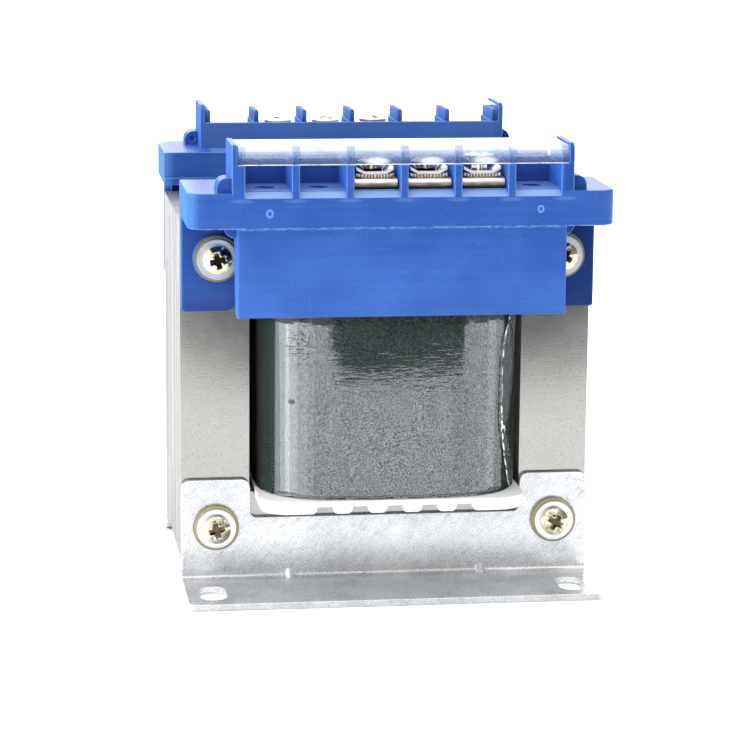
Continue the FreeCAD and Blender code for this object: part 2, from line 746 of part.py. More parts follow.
def terminal_plate(x):
    """Strip folded double at the front, with a rivet neck through the floor of the block."""
    front = -BLOCK_REACH + SILL_DEPTH
    half = PLATE_WIDTH / 2
    low = STRIP_FLOOR_TOP
    top = TERMINAL_TOP
    fold = PLATE_HEIGHT / 2
    back = front + PLATE_DEPTH

    outline = [(front, low, fold), (back, low), (back, top), (front, top, fold)]
    outer = prism("yz", outline, x - half, x + half)
    gap = [
        (front + PLATE_SHEET, low + PLATE_SHEET, fold - PLATE_SHEET),
        (back, low + PLATE_SHEET),
        (back, top - PLATE_SHEET),
        (front + PLATE_SHEET, top - PLATE_SHEET, fold - PLATE_SHEET),
    ]
    folded = outer.cut(prism("yz", gap, x - half, x + half))
    neck = FLOOR_HOLE - 2 * RIVET_SLACK
    tag_floor = PLATE_UNDERSIDE - TAG_THICKNESS
    y = -FLOOR_HOLE_REACH
    rivet = rod_along_z(neck, x, y, tag_floor - RIVET_LIP_HEIGHT, low + PLATE_SHEET)
    lip = rod_along_z(neck + 2 * RIVET_LIP, x, y, tag_floor - RIVET_LIP_HEIGHT, tag_floor)
    bore = rod_along_z(SCREW_DIAMETER + 2 * RIVET_BORE_SLACK, x, y, tag_floor - RIVET_LIP_HEIGHT, top)
    return joined([folded, rivet, lip]).cut(bore)


def clamp_washer(x, level, rise):
    """Square washer with both sides bent up by the rise."""
    half = CLAMP_WIDTH / 2
    flat = CLAMP_FLAT / 2
    lower = [(-half, rise), (-flat, 0, CLAMP_BEND), (flat, 0, CLAMP_BEND), (half, rise)]
    upper = [(u, v + CLAMP_THICKNESS, *rest) for u, v, *rest in reversed(lower)]
    corners = [(x + u, level + v, *rest) for u, v, *rest in lower + upper]
    y = -FLOOR_HOLE_REACH
    blank = prism("xz", corners, y - CLAMP_DEPTH / 2, y + CLAMP_DEPTH / 2)
    bore = rod_along_z(SCREW_DIAMETER + 2 * RIVET_BORE_SLACK, x, y, level, level + CLAMP_THICKNESS)
    return blank.cut(bore)


def drive_recess(depth, slot_depth):
    """Cross recess and slot, cut down from the plane Z = 0."""
    half = RECESS_SPAN / 2
    wing = RECESS_WIDTH / 2
    slot = DRIVE_SLOT_WIDTH / 2
    reach = BOLT_HEAD + SCREW_HEAD
    return joined([
        box(-half, half, -wing, wing, -depth, depth),
        box(-wing, wing, -half, half, -depth, depth),
        box(-slot, slot, -reach, reach, -slot_depth, depth),
    ])


def headed_screw(head, seat, cone, rim, height, diameter, length, turn):
    """Domed head on a plain shank, standing on Z = 0 with the shank below.

    The underside of the head rises from the seat over the height of the cone.
    """
    foot = Vector(seat / 2, 0, 0)
    side = Vector(head / 2, 0, cone)
    shoulder = Vector(head / 2, 0, rim)
    crown = Vector(0, 0, height)
    rise = height - rim
    sphere = ((head / 2) ** 2 + rise ** 2) / (2 * rise)
    lean = math.asin(head / 2 / sphere) / 2
    middle = Vector(sphere * math.sin(lean), 0, height - sphere + sphere * math.cos(lean))
    stops = [Vector(0, 0, 0), foot, side, shoulder] if cone > 0 else [Vector(0, 0, 0), side, shoulder]
    edges = [Part.LineSegment(a, b).toShape() for a, b in zip(stops, stops[1:])]
    edges.append(Part.Arc(shoulder, middle, crown).toShape())
    edges.append(Part.LineSegment(crown, Vector(0, 0, 0)).toShape())
    dome = Part.Face(Part.Wire(edges)).revolve(Vector(0, 0, 0), Vector(0, 0, 1), 360)
    shank = rod_along_z(diameter, 0, 0, -length, 0)
    recess = drive_recess(RECESS_DEPTH, DRIVE_SLOT_DEPTH)
    recess.rotate(Vector(0, 0, 0), Vector(0, 0, 1), turn)
    recess.translate(Vector(0, 0, height))
    return joined([dome, shank]).cut(recess)


def terminal_screw(x, lift, turn):
    screw = headed_screw(SCREW_HEAD, SCREW_SEAT, SCREW_HEAD_CONE, SCREW_HEAD_RIM, SCREW_HEAD_HEIGHT,
                         SCREW_DIAMETER, SCREW_LENGTH, turn)
    screw.translate(Vector(x, -FLOOR_HOLE_REACH, CLAMPS_TOP + lift))
    return screw


def solder_tag(x, lead_y):
    """Ring under the floor, held by the rivet, with a tail to the lead."""
    z0 = PLATE_UNDERSIDE - TAG_THICKNESS
    z1 = PLATE_UNDERSIDE
    y = -FLOOR_HOLE_REACH
    eye = rod_along_z(TAG_EYE, x, y, z0, z1)
    tail = prism("xy", [
        (x - TAG_TAIL / 2, y),
        (x + TAG_TAIL / 2, y),
        (x + TAG_TAIL / 2, lead_y + TAG_TAIL / 2, TAG_TAIL / 2),
        (x - TAG_TAIL / 2, lead_y + TAG_TAIL / 2, TAG_TAIL / 2),
    ], z0, z1)
    return joined([eye, tail]).cut(rod_along_z(FLOOR_HOLE - RIVET_SLACK, x, y, z0, z1))


def lead(x, y):
    """Straight lead from the top of its winding to its tag."""
    start = WINDOW_CEILING - BOBBIN_SLACK - CHEEK_THICKNESS - COIL_END_SLACK
    return rod_along_z(LEAD_DIAMETER, x, y, start, PLATE_UNDERSIDE - TAG_THICKNESS)


def each_terminal(draw):
    return group([draw(x) for x in terminal_xs()])


def clamp_pair(x):
    second = TERMINAL_TOP + CLAMP_THICKNESS + CLAMP_GAP
    return [clamp_washer(x, TERMINAL_TOP, LOWER_CLAMP_RISE), clamp_washer(x, second, UPPER_CLAMP_RISE)]


def terminal_screws(lifts):
    screws = []
    for i, x in enumerate(terminal_xs()):
        screws.append(terminal_screw(x, lifts[i], BOLT_TURN * (2 * i + 1)))
    return group(screws)


# Through bolts

def bolt_places():
    return [(x, z) for z in (BOLT_LOW, BOLT_HIGH) for x in (-BOLT_X, BOLT_X)]


def clamped_depth(z):
    """Distance from the middle of the core to the seat of the washers on each side."""
    return CORE_FACE + (FOOT_SHEET if z == BOLT_LOW else EAR_SEAT)


def washers_at(y_step, outer, bore, thickness):
    """A ring at both ends of each bolt, y_step outside the seat."""
    rings = []
    for x, z in bolt_places():
        seat = clamped_depth(z) + y_step
        rings.append(washer(outer, bore, x, z, -seat - thickness, -seat))
        rings.append(washer(outer, bore, x, z, seat, seat + thickness))
    return group(rings)


def through_bolts():
    bolts = []
    stack = INSULATING_WASHER_THICKNESS + FLAT_WASHER_THICKNESS
    for i, (x, z) in enumerate(bolt_places()):
        seat = clamped_depth(z) + stack
        length = 2 * seat + SPRING_WASHER_THICKNESS + NUT_HEIGHT + BOLT_TAIL
        bolt = headed_screw(BOLT_HEAD, BOLT_HEAD, 0, BOLT_HEAD_RIM, BOLT_HEAD_HEIGHT,
                            BOLT_DIAMETER, length, BOLT_TURN * (3 * i + 1))
        bolt.rotate(Vector(0, 0, 0), Vector(1, 0, 0), 90)
        bolt.translate(Vector(x, -seat, z))
        bolts.append(bolt)
    return group(bolts)


def bolt_sleeves():
    outer = CORE_HOLE - 2 * SLEEVE_SLACK
    sleeves = []
    for x, z in bolt_places():
        end = clamped_depth(z)
        sleeves.append(washer(outer, BOLT_BORE, x, z, -end, end))
    return group(sleeves)


def rear_stack(z):
    """Distance from the middle of the core to the outside of the rear flat washer."""
    return clamped_depth(z) + INSULATING_WASHER_THICKNESS + FLAT_WASHER_THICKNESS


def spring_washers():
    rings = []
    for x, z in bolt_places():
        y = rear_stack(z)
        ring = washer(SPRING_WASHER, BOLT_BORE, x, z, y, y + SPRING_WASHER_THICKNESS)
        half = SPRING_WASHER_CUT / 2
        slit = box(x - half, x + half, y, y + SPRING_WASHER_THICKNESS, z, z + SPRING_WASHER)
        rings.append(ring.cut(slit))
    return group(rings)


def nut(x, y, z):
    """Hexagon nut on an axis along Y, its corners turned off at both faces."""
    across_corners = NUT_ACROSS_FLATS / math.cos(math.radians(30))
    points = []
    for i in range(6):
        angle = math.radians(60 * i)
        points.append((x + across_corners / 2 * math.cos(angle), z + across_corners / 2 * math.sin(angle)))
    blank = prism("xz", points, y, y + NUT_HEIGHT)
    turned = rod_along_y(across_corners, x, z, y, y + NUT_HEIGHT)
    chamfer = (across_corners - NUT_ACROSS_FLATS) / 2
    turned = turned.makeChamfer(chamfer, turned.Edges[0:1] + turned.Edges[2:3])
    return blank.common(turned).cut(rod_along_y(BOLT_DIAMETER, x, z, y, y + NUT_HEIGHT))


def core_nuts():
    return group([nut(x, rear_stack(z) + SPRING_WASHER_THICKNESS, z) for x, z in bolt_places()])


def main():
    os.makedirs("parts", exist_ok=True)

    save("e_laminations", core_packets(e_packet))
    save("i_laminations", core_packets(i_packet))
    save("bobbin", bobbin())
    save("primary_winding", coil_layer("primary"))
    save("winding_barrier", coil_layer("barrier"))
    save("secondary_winding", coil_layer("secondary"))
    save("coil_paper", coil_layer("paper"))
    save("coil_film", coil_layer("film"))

    for side, place in (("front", at_front), ("rear", at_rear)):
        lead_y = CORE_FACE - (layer_middle("primary") if side == "front" else layer_middle("secondary"))
        lifts = FRONT_SCREW_LIFTS if side == "front" else REAR_SCREW_LIFTS
        save(f"foot_bracket_{side}", place(foot_bracket()))
        save(f"terminal_block_{side}", place(terminal_block()))
        save(f"terminal_cover_{side}", place(terminal_cover()))
        save(f"terminal_plates_{side}", place(each_terminal(terminal_plate)))
        save(f"clamp_washers_{side}", place(group(sum([clamp_pair(x) for x in terminal_xs()], []))))
        save(f"terminal_screws_{side}", place(terminal_screws(lifts)))
        save(f"solder_tags_{side}", place(each_terminal(lambda x: solder_tag(x, lead_y))))
        save(f"leads_{side}", place(each_terminal(lambda x: lead(x, lead_y))))

    save("core_bolts", through_bolts())
    save("bolt_sleeves", bolt_sleeves())
    seat = INSULATING_WASHER_THICKNESS
    save("insulating_washers", washers_at(0, INSULATING_WASHER, BOLT_BORE, INSULATING_WASHER_THICKNESS))
    save("flat_washers", washers_at(seat, FLAT_WASHER, BOLT_BORE, FLAT_WASHER_THICKNESS))
    save("spring_washers", spring_washers())
    save("core_nuts", core_nuts())


main()
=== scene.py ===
# %% [markdown]
# # A control transformer, dressed for its photograph
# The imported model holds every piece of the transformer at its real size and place.
# It is loaded first as a fixed frame, and everything below is fitted round it.
# Lengths are in metres, X runs to the right, Y to the rear and Z up from the mounting surface.

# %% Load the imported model
import math
import random

import bmesh
import bpy
from mathutils import Matrix, Vector, noise


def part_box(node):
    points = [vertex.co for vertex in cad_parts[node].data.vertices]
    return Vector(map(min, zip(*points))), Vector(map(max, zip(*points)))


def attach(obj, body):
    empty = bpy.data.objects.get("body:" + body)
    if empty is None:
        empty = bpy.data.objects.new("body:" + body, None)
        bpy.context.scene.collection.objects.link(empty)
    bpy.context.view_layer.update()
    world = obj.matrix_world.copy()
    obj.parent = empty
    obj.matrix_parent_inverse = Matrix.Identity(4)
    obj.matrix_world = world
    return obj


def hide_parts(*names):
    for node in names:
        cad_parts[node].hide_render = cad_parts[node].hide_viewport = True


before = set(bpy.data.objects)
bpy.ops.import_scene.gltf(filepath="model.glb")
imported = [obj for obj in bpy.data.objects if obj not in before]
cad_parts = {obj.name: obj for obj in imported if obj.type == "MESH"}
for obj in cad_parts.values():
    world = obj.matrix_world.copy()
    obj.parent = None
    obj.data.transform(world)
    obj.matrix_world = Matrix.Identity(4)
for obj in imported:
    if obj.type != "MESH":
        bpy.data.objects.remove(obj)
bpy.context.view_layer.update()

MM = 0.001
rng = random.Random(7)

# %% [markdown]
# ## Camera
# The photograph was taken with a long lens, from a little left of the middle and about eleven degrees above.
# Its place was found from the straight edges of the core, whose sheets have standard sizes. A long lens keeps
# the verticals nearly parallel, so the place and the three turns are given as they were found.

# %% Camera
CAMERA_PLACE = Vector((-94.47, -679.65, 177.99)) * MM
CAMERA_YAW = 0.1397
CAMERA_PITCH = 0.1929
CAMERA_ROLL = 0.0086
FOCAL_PIXELS = 2880.56
PHOTO_PIXELS = 750
CLIP_START = 0.05


def camera_axes(yaw, pitch, roll):
    """Right, up and backward directions of a camera that looks along +Y before it is turned."""
    forward = Vector((math.sin(yaw) * math.cos(pitch), math.cos(yaw) * math.cos(pitch), -math.sin(pitch)))
    level = Vector((math.cos(yaw), -math.sin(yaw), 0))
    upright = level.cross(forward)
    right = level * math.cos(roll) + upright * math.sin(roll)
    up = upright * math.cos(roll) - level * math.sin(roll)
    return right, up, -forward


lens = bpy.data.cameras.new("photo_camera")
lens.lens = lens.sensor_width * FOCAL_PIXELS / PHOTO_PIXELS
lens.clip_start = CLIP_START
camera = bpy.data.objects.new("photo_camera", lens)
camera.matrix_world = Matrix.Translation(CAMERA_PLACE) @ Matrix(
    camera_axes(CAMERA_YAW, CAMERA_PITCH, CAMERA_ROLL)).transposed().to_4x4()
bpy.context.collection.objects.link(camera)
bpy.context.scene.camera = camera
print("lens", round(lens.lens, 2), "mm")

# %% [markdown]
# ## Shading helpers
# A finish is a tree of shader nodes. Written node by node, even a short formula takes a page, so one small
# class wraps a socket and overloads the arithmetic: `1 - mask * 0.5` then adds the two Math nodes by itself.
# All other nodes come from one function.

# %% Sockets as values
class Wire:
    """A value socket that can be used in sums."""

    def __init__(self, tree, socket):
        self.tree = tree
        self.socket = socket

    def math(self, operation, *others):
        return add_node(self.tree, "Math", {"operation": operation}, dict(enumerate((self, *others))))

    def __add__(self, other):
        return self.math("ADD", other)

    def __sub__(self, other):
        return self.math("SUBTRACT", other)

    def __rsub__(self, other):
        return add_node(self.tree, "Math", {"operation": "SUBTRACT"}, {0: other, 1: self})

    def __mul__(self, other):
        return self.math("MULTIPLY", other)

    def __truediv__(self, other):
        return self.math("DIVIDE", other)

    __radd__ = __add__
    __rmul__ = __mul__

    def ramp(self, low, high, start=0.0, end=1.0, smooth=True):
        """Map low..high to start..end, held outside."""
        settings = {"interpolation_type": "SMOOTHSTEP" if smooth else "LINEAR"}
        inputs = {"Value": self, "From Min": low, "From Max": high, "To Min": start, "To Max": end}
        return add_node(self.tree, "MapRange", settings, inputs)


def connect(tree, target, value):
    if isinstance(value, Wire):
        tree.links.new(value.socket, target)
    elif isinstance(value, (tuple, list)) and target.type == "RGBA":
        target.default_value = (*value[:3], 1)
    else:
        target.default_value = value


def add_node(tree, kind, settings=None, inputs=None, output=0):
    """Any shader node: its settings first, then the values or links of its sockets."""
    made = tree.nodes.new("ShaderNode" + kind)
    for key, value in (settings or {}).items():
        setattr(made, key, value)
    for key, value in (inputs or {}).items():
        connect(tree, made.inputs[key], value)
    return Wire(tree, made.outputs[output]) if len(made.outputs) else None


def axes_of(tree, vector):
    """The X, Y and Z values of a vector."""
    split = add_node(tree, "SeparateXYZ", inputs={0: vector})
    return [Wire(tree, out) for out in split.socket.node.outputs]


print("value helpers ready")

# %% [markdown]
# ## A finish
# Each material is one Principled shader. Its patterns read the Object coordinates, which are metres here, so
# a scratch has its real size. Painted shade in corners, and a painted highlight with wear on edges, follow
# the
# shape: the shader itself finds edges and corners.

# %% A finish
# Sockets of a Mix node that mixes colours
COLOUR_A = 6
COLOUR_B = 7
COLOUR_OUT = 2
SHAPE_SAMPLES = 6
ROUND_SAMPLES = 4
BOLT_HEAD = 6.5 * MM
finishes = {}


class Finish:
    """A material built round one Principled shader, kept in finishes under its name."""

    def __init__(self, name, **uniform):
        self.material = finishes[name] = bpy.data.materials.new(name)
        self.material.use_nodes = True
        self.tree = self.material.node_tree
        self.shader = self.tree.nodes["Principled BSDF"]
        self.place = self.node("TexCoord", output="Object")
        self.x, self.y, self.z = axes_of(self.tree, self.place)
        for socket, value in uniform.items():
            self.feed(socket.replace("_", " "), value)

    def node(self, kind, settings=None, inputs=None, output=0):
        return add_node(self.tree, kind, settings, inputs, output)

    def feed(self, socket, value):
        connect(self.tree, self.shader.inputs[socket], value)

    def grain(self, size, detail=2.0, turn=0.0, rough=0.5, seed=0.0):
        """Noise between 0 and 1. The size of its blotches is one length or three, turned about Y."""
        sizes = size if isinstance(size, tuple) else (size,) * 3
        inputs = {"Vector": self.place, "Scale": sizes, "Rotation": (0, turn, 0), "Location": (seed,) * 3}
        moved = self.node("Mapping", {"vector_type": "TEXTURE"}, inputs)
        inputs = {"Vector": moved, "Scale": 1.0, "Detail": detail, "Roughness": rough}
        return self.node("TexNoise", inputs=inputs)

    def blend(self, share, low, high):
        """Colour between low and high."""
        inputs = {"Factor": share, COLOUR_A: low, COLOUR_B: high}
        return self.node("Mix", {"data_type": "RGBA"}, inputs, COLOUR_OUT)

    def relief(self, height, depth, radius=0.0):
        """Feed the normal with relief from a height between 0 and 1, over edges that are softened."""
        normal = self.node("Bump", inputs={"Height": height, "Distance": depth, "Strength": 1.0})
        self.feed("Normal", self.rounded(radius, normal) if radius else normal)

    def spot(self, place, size, soft=0.35):
        """1 inside an ellipse on a face that looks to the front, 0 outside it."""
        across = (self.x - place[0]) / size[0]
        upward = (self.z - place[1]) / size[1]
        return (across * across + upward * upward).ramp(1 - soft, 1 + soft, 1, 0)

    def rounded(self, radius, normal=None):
        """The normal over softened edges, for a corner too small to be worth its own faces."""
        inputs = {"Radius": radius}
        if normal:
            inputs["Normal"] = normal
        return self.node("Bevel", {"samples": ROUND_SAMPLES}, inputs)

    def openness(self, reach, inside=False):
        """1 where nothing of the piece lies within reach, looked at from outside or from inside its solid."""
        settings = {"samples": SHAPE_SAMPLES, "only_local": True, "inside": inside}
        return self.node("AmbientOcclusion", settings, {"Distance": reach}, "AO")

    def corners(self, reach, low, high):
        """1 down in the corners, where the finishes paint shade, 0 on open faces."""
        return self.openness(reach).ramp(low, high, 1, 0)

    def edges(self, reach):
        """1 along the outward edges, where the finishes paint a highlight and wear: there the solid itself is
        thin.
        """
        return self.openness(reach, inside=True).ramp(0.55, 0.88, 1, 0)

    def facing(self, axis):
        """How squarely a face looks along an axis: 1 along it, -1 against it."""
        normal = self.node("NewGeometry", output="Normal")
        return axes_of(self.tree, normal)["XYZ".index(axis)]

    def outward(self):
        """How squarely a face looks away from the middle, to the front or to the rear."""
        return self.facing("Y") * self.y.ramp(-MM, MM, -1, 1, False)

    def from_bolt(self):
        """Distance from the axis of the nearest core bolt."""
        low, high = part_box("core_bolts")
        side = high.x - BOLT_HEAD / 2
        foot = low.z + BOLT_HEAD / 2
        head = high.z - BOLT_HEAD / 2
        middle = (foot + head) / 2
        across = self.x.math("ABSOLUTE") - side
        upward = self.z - self.z.ramp(middle - MM, middle + MM, foot, head, False)
        return (across * across + upward * upward).math("SQRT")


print("finish helpers ready")

# %% [markdown]
# ## Studio
# The picture is a high-key product shot: a white table, white walls, and strong light from behind and from
# the left. A world that is brighter in those two directions does it without any lamp, and lights every side
# softly. It is brighter than the white of the picture, so glossy tops, which mirror it at a flat angle, turn
# white as well. Light from above is dimmed for mirrors, so that level metal doesn't glare.

# %% World and table
FRONT_LIGHT = 1.05
TOP_LIGHT = 1.9
TOP_DIMMED = 0.6
BACK_LIGHT = 1.2
LEFT_LIGHT = 1.3
RIGHT_SHADE = -0.75
SEEN_WHITE = 1.02
WHITE = (1.0, 1.0, 1.0)
FLOOR_HALF = 6.0
FLOOR_GAP = 0.1 * MM
FLOOR_COLOUR = (0.96, 0.96, 0.96)
SQUARE = ((-1, -1), (1, -1), (1, 1), (-1, 1))


def white_world():
    world = bpy.data.worlds.new("white_studio")
    world.use_nodes = True
    tree = world.node_tree
    tree.nodes.clear()
    towards = add_node(tree, "TexCoord", output="Generated")
    to_right, to_back, to_top = axes_of(tree, towards)
    from_left = to_right.ramp(-0.95, -0.2, LEFT_LIGHT, 0) * to_back.ramp(-0.2, 0.7, 1.3, 0.6)
    in_mirror = add_node(tree, "LightPath", output="Is Glossy Ray")
    from_top = to_top.ramp(0.5, 0.9, 0, TOP_LIGHT) * (1 - in_mirror * TOP_DIMMED)
    strength = FRONT_LIGHT + to_back.ramp(0.25, 0.95, 0, BACK_LIGHT) + from_left + from_top
    strength = strength + to_right.ramp(0.15, 0.8, 0, RIGHT_SHADE)
    lighting = add_node(tree, "Background", inputs={"Color": WHITE, "Strength": strength})
    seen = add_node(tree, "Background", inputs={"Color": WHITE, "Strength": SEEN_WHITE})
    from_camera = add_node(tree, "LightPath", output="Is Camera Ray")
    either = add_node(tree, "MixShader", inputs={0: from_camera, 1: lighting, 2: seen})
    add_node(tree, "OutputWorld", inputs={"Surface": either})
    bpy.context.scene.world = world


def stage_sheet(name, corners, colour, roughness, glow=0.0):
    """Flat sheet of the set, not part of the transformer."""
    shape = bmesh.new()
    shape.faces.new([shape.verts.new(corner) for corner in corners])
    mesh = bpy.data.meshes.new(name)
    shape.to_mesh(mesh)
    shape.free()
    thing = bpy.data.objects.new(name, mesh)
    paint = Finish(name, Base_Color=colour, Roughness=roughness)
    paint.feed("Emission Color", WHITE)
    paint.feed("Emission Strength", glow)
    mesh.materials.append(paint.material)
    bpy.context.collection.objects.link(thing)
    return thing


white_world()
floor_corners = [(x * FLOOR_HALF, y * FLOOR_HALF, -FLOOR_GAP) for x, y in SQUARE]
floor = stage_sheet("floor", floor_corners, FLOOR_COLOUR, 0.6)
bpy.context.scene.view_settings.view_transform = "Standard"
print("floor", [round(v, 2) for v in floor.dimensions])

# %% [markdown]
# ## Cards for the reflections
# What makes polished metal read as metal is something dark to reflect. In the photograph the white table ends
# about twenty centimetres in front of the transformer, and the room beyond it is dark, which greys the upper
# half of the core. Low at the left, glowing panels stand in for bright paper, and show as the light band on
# the left corner of the wrapped coil. The cards only show in reflections, as in a studio where they stand out
# of view.

# %% Reflection cards
CARD_COLOUR = (0.03, 0.034, 0.038)
CARD_ROUGHNESS = 0.9
CARD_LIFT = 3 * MM
TABLE_END = -0.261
TABLE_END_X = (-0.014, 0.092)
TABLE_SIDE = -0.305
TABLE_SIDE_X = (-0.028, 0.120)
ROOM_BACK = -1.5
ROOM_X = (-0.104, 0.576)
ROOM_HEIGHT = 0.75
PANEL_PIVOT = Vector((-0.024, -0.036))
PANEL_REACH = (0.07, 0.36)
# Start and end in degrees from straight ahead, and brightness
PANEL_SECTORS = [(-86, -66, 1.3), (-66, -50, 0.9), (-50, -34, 0.45), (-34, -22, 0.22)]
CREASES = 12
CREASE_STEP = 0.008
CREASE_REACH = 0.011


def reflected_only(card):
    card.visible_camera = False
    card.visible_diffuse = False
    card.visible_transmission = False
    card.visible_shadow = False


def fan_point(reach, degrees):
    """A point on the table at a distance and an angle from straight ahead of the coil's left corner."""
    angle = math.radians(degrees)
    return (PANEL_PIVOT.x + reach * math.sin(angle), PANEL_PIVOT.y - reach * math.cos(angle), CARD_LIFT)


def creased_side(start_x, end_x):
    """The side of the dark table from near to far, with a ragged first part."""
    points = [(start_x, TABLE_SIDE)]
    for k in range(1, CREASES + 1):
        share = k * CREASE_STEP / (TABLE_SIDE - ROOM_BACK)
        jog = rng.uniform(-CREASE_REACH, CREASE_REACH)
        points.append((start_x + (end_x - start_x) * share + jog, TABLE_SIDE - k * CREASE_STEP))
    return points + [(end_x, ROOM_BACK)]


right_side = creased_side(TABLE_SIDE_X[1], ROOM_X[1])
left_side = creased_side(TABLE_SIDE_X[0], ROOM_X[0])
table_outline = [(TABLE_END_X[0], TABLE_END), (TABLE_END_X[1], TABLE_END)] + right_side + left_side[::-1]
table_corners = [(x, y, CARD_LIFT) for x, y in table_outline]
wall_outline = [(ROOM_X[0], 0), (ROOM_X[1], 0), (ROOM_X[1], ROOM_HEIGHT), (ROOM_X[0], ROOM_HEIGHT)]
wall_corners = [(x, ROOM_BACK, z) for x, z in wall_outline]
cards = [stage_sheet("dark_table", table_corners, CARD_COLOUR, CARD_ROUGHNESS),
         stage_sheet("dark_room", wall_corners, CARD_COLOUR, CARD_ROUGHNESS)]
near, far = PANEL_REACH
# The low panels glow, and show only in reflections.
for number, (start, end, glow) in enumerate(PANEL_SECTORS):
    corners = [fan_point(near, start), fan_point(far, start), fan_point(far, end), fan_point(near, end)]
    cards.append(stage_sheet("low_panel_%d" % number, corners, WHITE, 1.0, glow))
for card in cards:
    reflected_only(card)
print("cards", [card.name for card in cards])

# %% [markdown]
# ## Core steel
# Rolled steel sheet is smooth, with a faint grain along its length. Its cut edges are duller and differ from
# sheet to sheet, and inside the windows they are painted nearly black, as painted shade in the depth of the
# gap.
# Both are metallic shaders whose roughness and colour vary at the scale that the real surface shows.

# %% Core steel
def satin_steel():
    f = Finish("satin_steel", Metallic=1.0)
    fine = f.grain((1.6 * MM, 0.3 * MM, 0.3 * MM), detail=3)
    cloud = f.grain(9 * MM, detail=3)
    specks = f.grain(0.34 * MM, detail=0, seed=0.3).ramp(0.70, 0.76)
    tone = fine.ramp(0.3, 0.7, -0.06, 0.06, False) + cloud.ramp(0.3, 0.7, -0.05, 0.05) + 0.5
    colour = f.blend(tone, (0.265, 0.265, 0.255), (0.458, 0.450, 0.432))
    f.feed("Base Color", f.blend(specks * 0.6, colour, (0.12, 0.11, 0.10)))
    f.feed("Roughness", 0.13 + cloud * 0.07)
    f.relief(fine, 0.004 * MM)


SHEET = 0.5 * MM
WINDOW_SIDE = 32.2 * MM
WINDOW_FOOT = 20 * MM
WINDOW_TOP = 72 * MM


def sheet_edges():
    f = Finish("sheet_edges", Metallic=1.0)
    count = f.y / SHEET
    each = f.node("TexWhiteNoise", {"noise_dimensions": "1D"}, {"W": count.math("FLOOR")})
    first = count.math("FRACT").ramp(0.25, 0.4, 1, 0)
    packet = f.node("TexNoise", {"noise_dimensions": "1D"}, {"W": f.y, "Scale": 1 / (5 * MM), "Detail": 1.0})
    fine = f.grain((0.6 * MM, 0.6 * MM, 2.4 * MM), detail=3)
    tone = each * 0.3 + packet * 0.35 + fine * 0.35
    colour = f.blend(tone, (0.31, 0.305, 0.30), (0.52, 0.52, 0.52))
    colour = f.blend(each.ramp(0.90, 0.93) * first * 0.6, colour, (0.10, 0.095, 0.09))
    # Inside the windows the edges are painted nearly black: painted shade in the depth of the gap.
    in_width = f.x.math("ABSOLUTE").ramp(WINDOW_SIDE, WINDOW_SIDE + 0.4 * MM, 1, 0)
    in_height = f.z.ramp(WINDOW_FOOT, WINDOW_FOOT + MM) * f.z.ramp(WINDOW_TOP - MM, WINDOW_TOP, 0.9, 0)
    f.feed("Base Color", f.blend(in_width * in_height, colour, (0.02, 0.02, 0.02)))
    f.feed("Roughness", 0.30 + each * 0.18)
    f.relief(fine, 0.02 * MM)


satin_steel()
sheet_edges()
print("finishes", list(finishes))

# %% [markdown]
# ## Galvanised feet
# The feet are folded from zinc coated sheet, with cloudy patches, a fine bloom, dark specks in clusters and
# scratches. Each is a noise of its own size, the scratches stretched and turned. The cut front edge shows its
# burrs, and a painted shade line runs along the foot of the sheet where it stands on the table. The level
# sole, which mirrors the bright back, is painted darker as painted shade, the web darker towards its top, and
# the outward edges get a painted highlight.

# %% Galvanised sheet
FOOT_REACH = 50 * MM
# Where soft changes start and end
WEB_INSIDE = (-30 * MM, -28 * MM)
WEB_FOOT = (1.6 * MM, 3.4 * MM)
WEB_SHADE = (11 * MM, 17 * MM)


def galvanised():
    f = Finish("galvanised_steel", Metallic=0.7)
    cloud = f.grain(8 * MM, detail=3)
    bloom = f.grain(1.1 * MM, detail=4, rough=0.7, seed=0.1)
    fine = f.grain(0.22 * MM, detail=2)
    tone = cloud.ramp(0.3, 0.7, 0.2, 0.45) + bloom.ramp(0.3, 0.7, -0.08, 0.16)
    tone = tone + fine.ramp(0.3, 0.7, -0.10, 0.14)
    # Level faces, and the web towards its top, are painted darker: painted shade.
    level = f.facing("Z").ramp(0.6, 0.9)
    front_edge = f.y.math("ABSOLUTE").ramp(FOOT_REACH, FOOT_REACH + 0.1 * MM)
    tone = tone + 0.14 - level * 0.37 - front_edge * 0.35 - f.z.ramp(*WEB_SHADE, 0, 0.24)
    colour = f.blend(tone, (0.50, 0.523, 0.54), (0.96, 0.975, 0.99))
    long_mark = f.grain((9 * MM, 0.22 * MM, 0.13 * MM), detail=1, turn=0.5, seed=0.2).ramp(0.70, 0.76)
    short_mark = f.grain((2.2 * MM, 0.2 * MM, 0.11 * MM), detail=0, turn=-0.75, seed=0.4).ramp(0.70, 0.76)
    cluster = f.grain(5 * MM, detail=1, seed=0.6).ramp(0.50, 0.64)
    dark = f.grain(0.40 * MM, detail=1, seed=0.9).ramp(0.60, 0.70) * cluster
    low_web = f.z.ramp(*WEB_FOOT, 1, 0) * f.y.ramp(*WEB_INSIDE)
    colour = f.blend(long_mark * 0.45, colour, (1.0, 1.0, 1.0))
    colour = f.blend(short_mark * 0.75, colour, (0.22, 0.23, 0.25))
    colour = f.blend(low_web * bloom.ramp(0.35, 0.6) * 0.6, colour, (0.62, 0.53, 0.50))
    colour = f.blend(dark * 0.7, colour, (0.15, 0.16, 0.18))
    # Burrs on the cut front edge, and a painted shade line where the sheet stands on the table.
    burrs_and_contact_shade = (front_edge * fine.ramp(0.50, 0.62) * 0.55).math("MAXIMUM", f.z.ramp(0.1 * MM, 0.3 * MM, 0.7, 0))
    colour = f.blend(burrs_and_contact_shade, colour, (0.20, 0.20, 0.21))
    # Outward edges get a painted highlight.
    f.feed("Base Color", f.blend(f.edges(0.35 * MM) * 0.7, colour, (1.0, 1.0, 1.0)))
    f.feed("Roughness", 0.20 + cloud * 0.05 + fine * 0.10)
    f.relief(fine * 0.6 + bloom, 0.010 * MM, 0.25 * MM)


galvanised()
print("finishes", list(finishes))
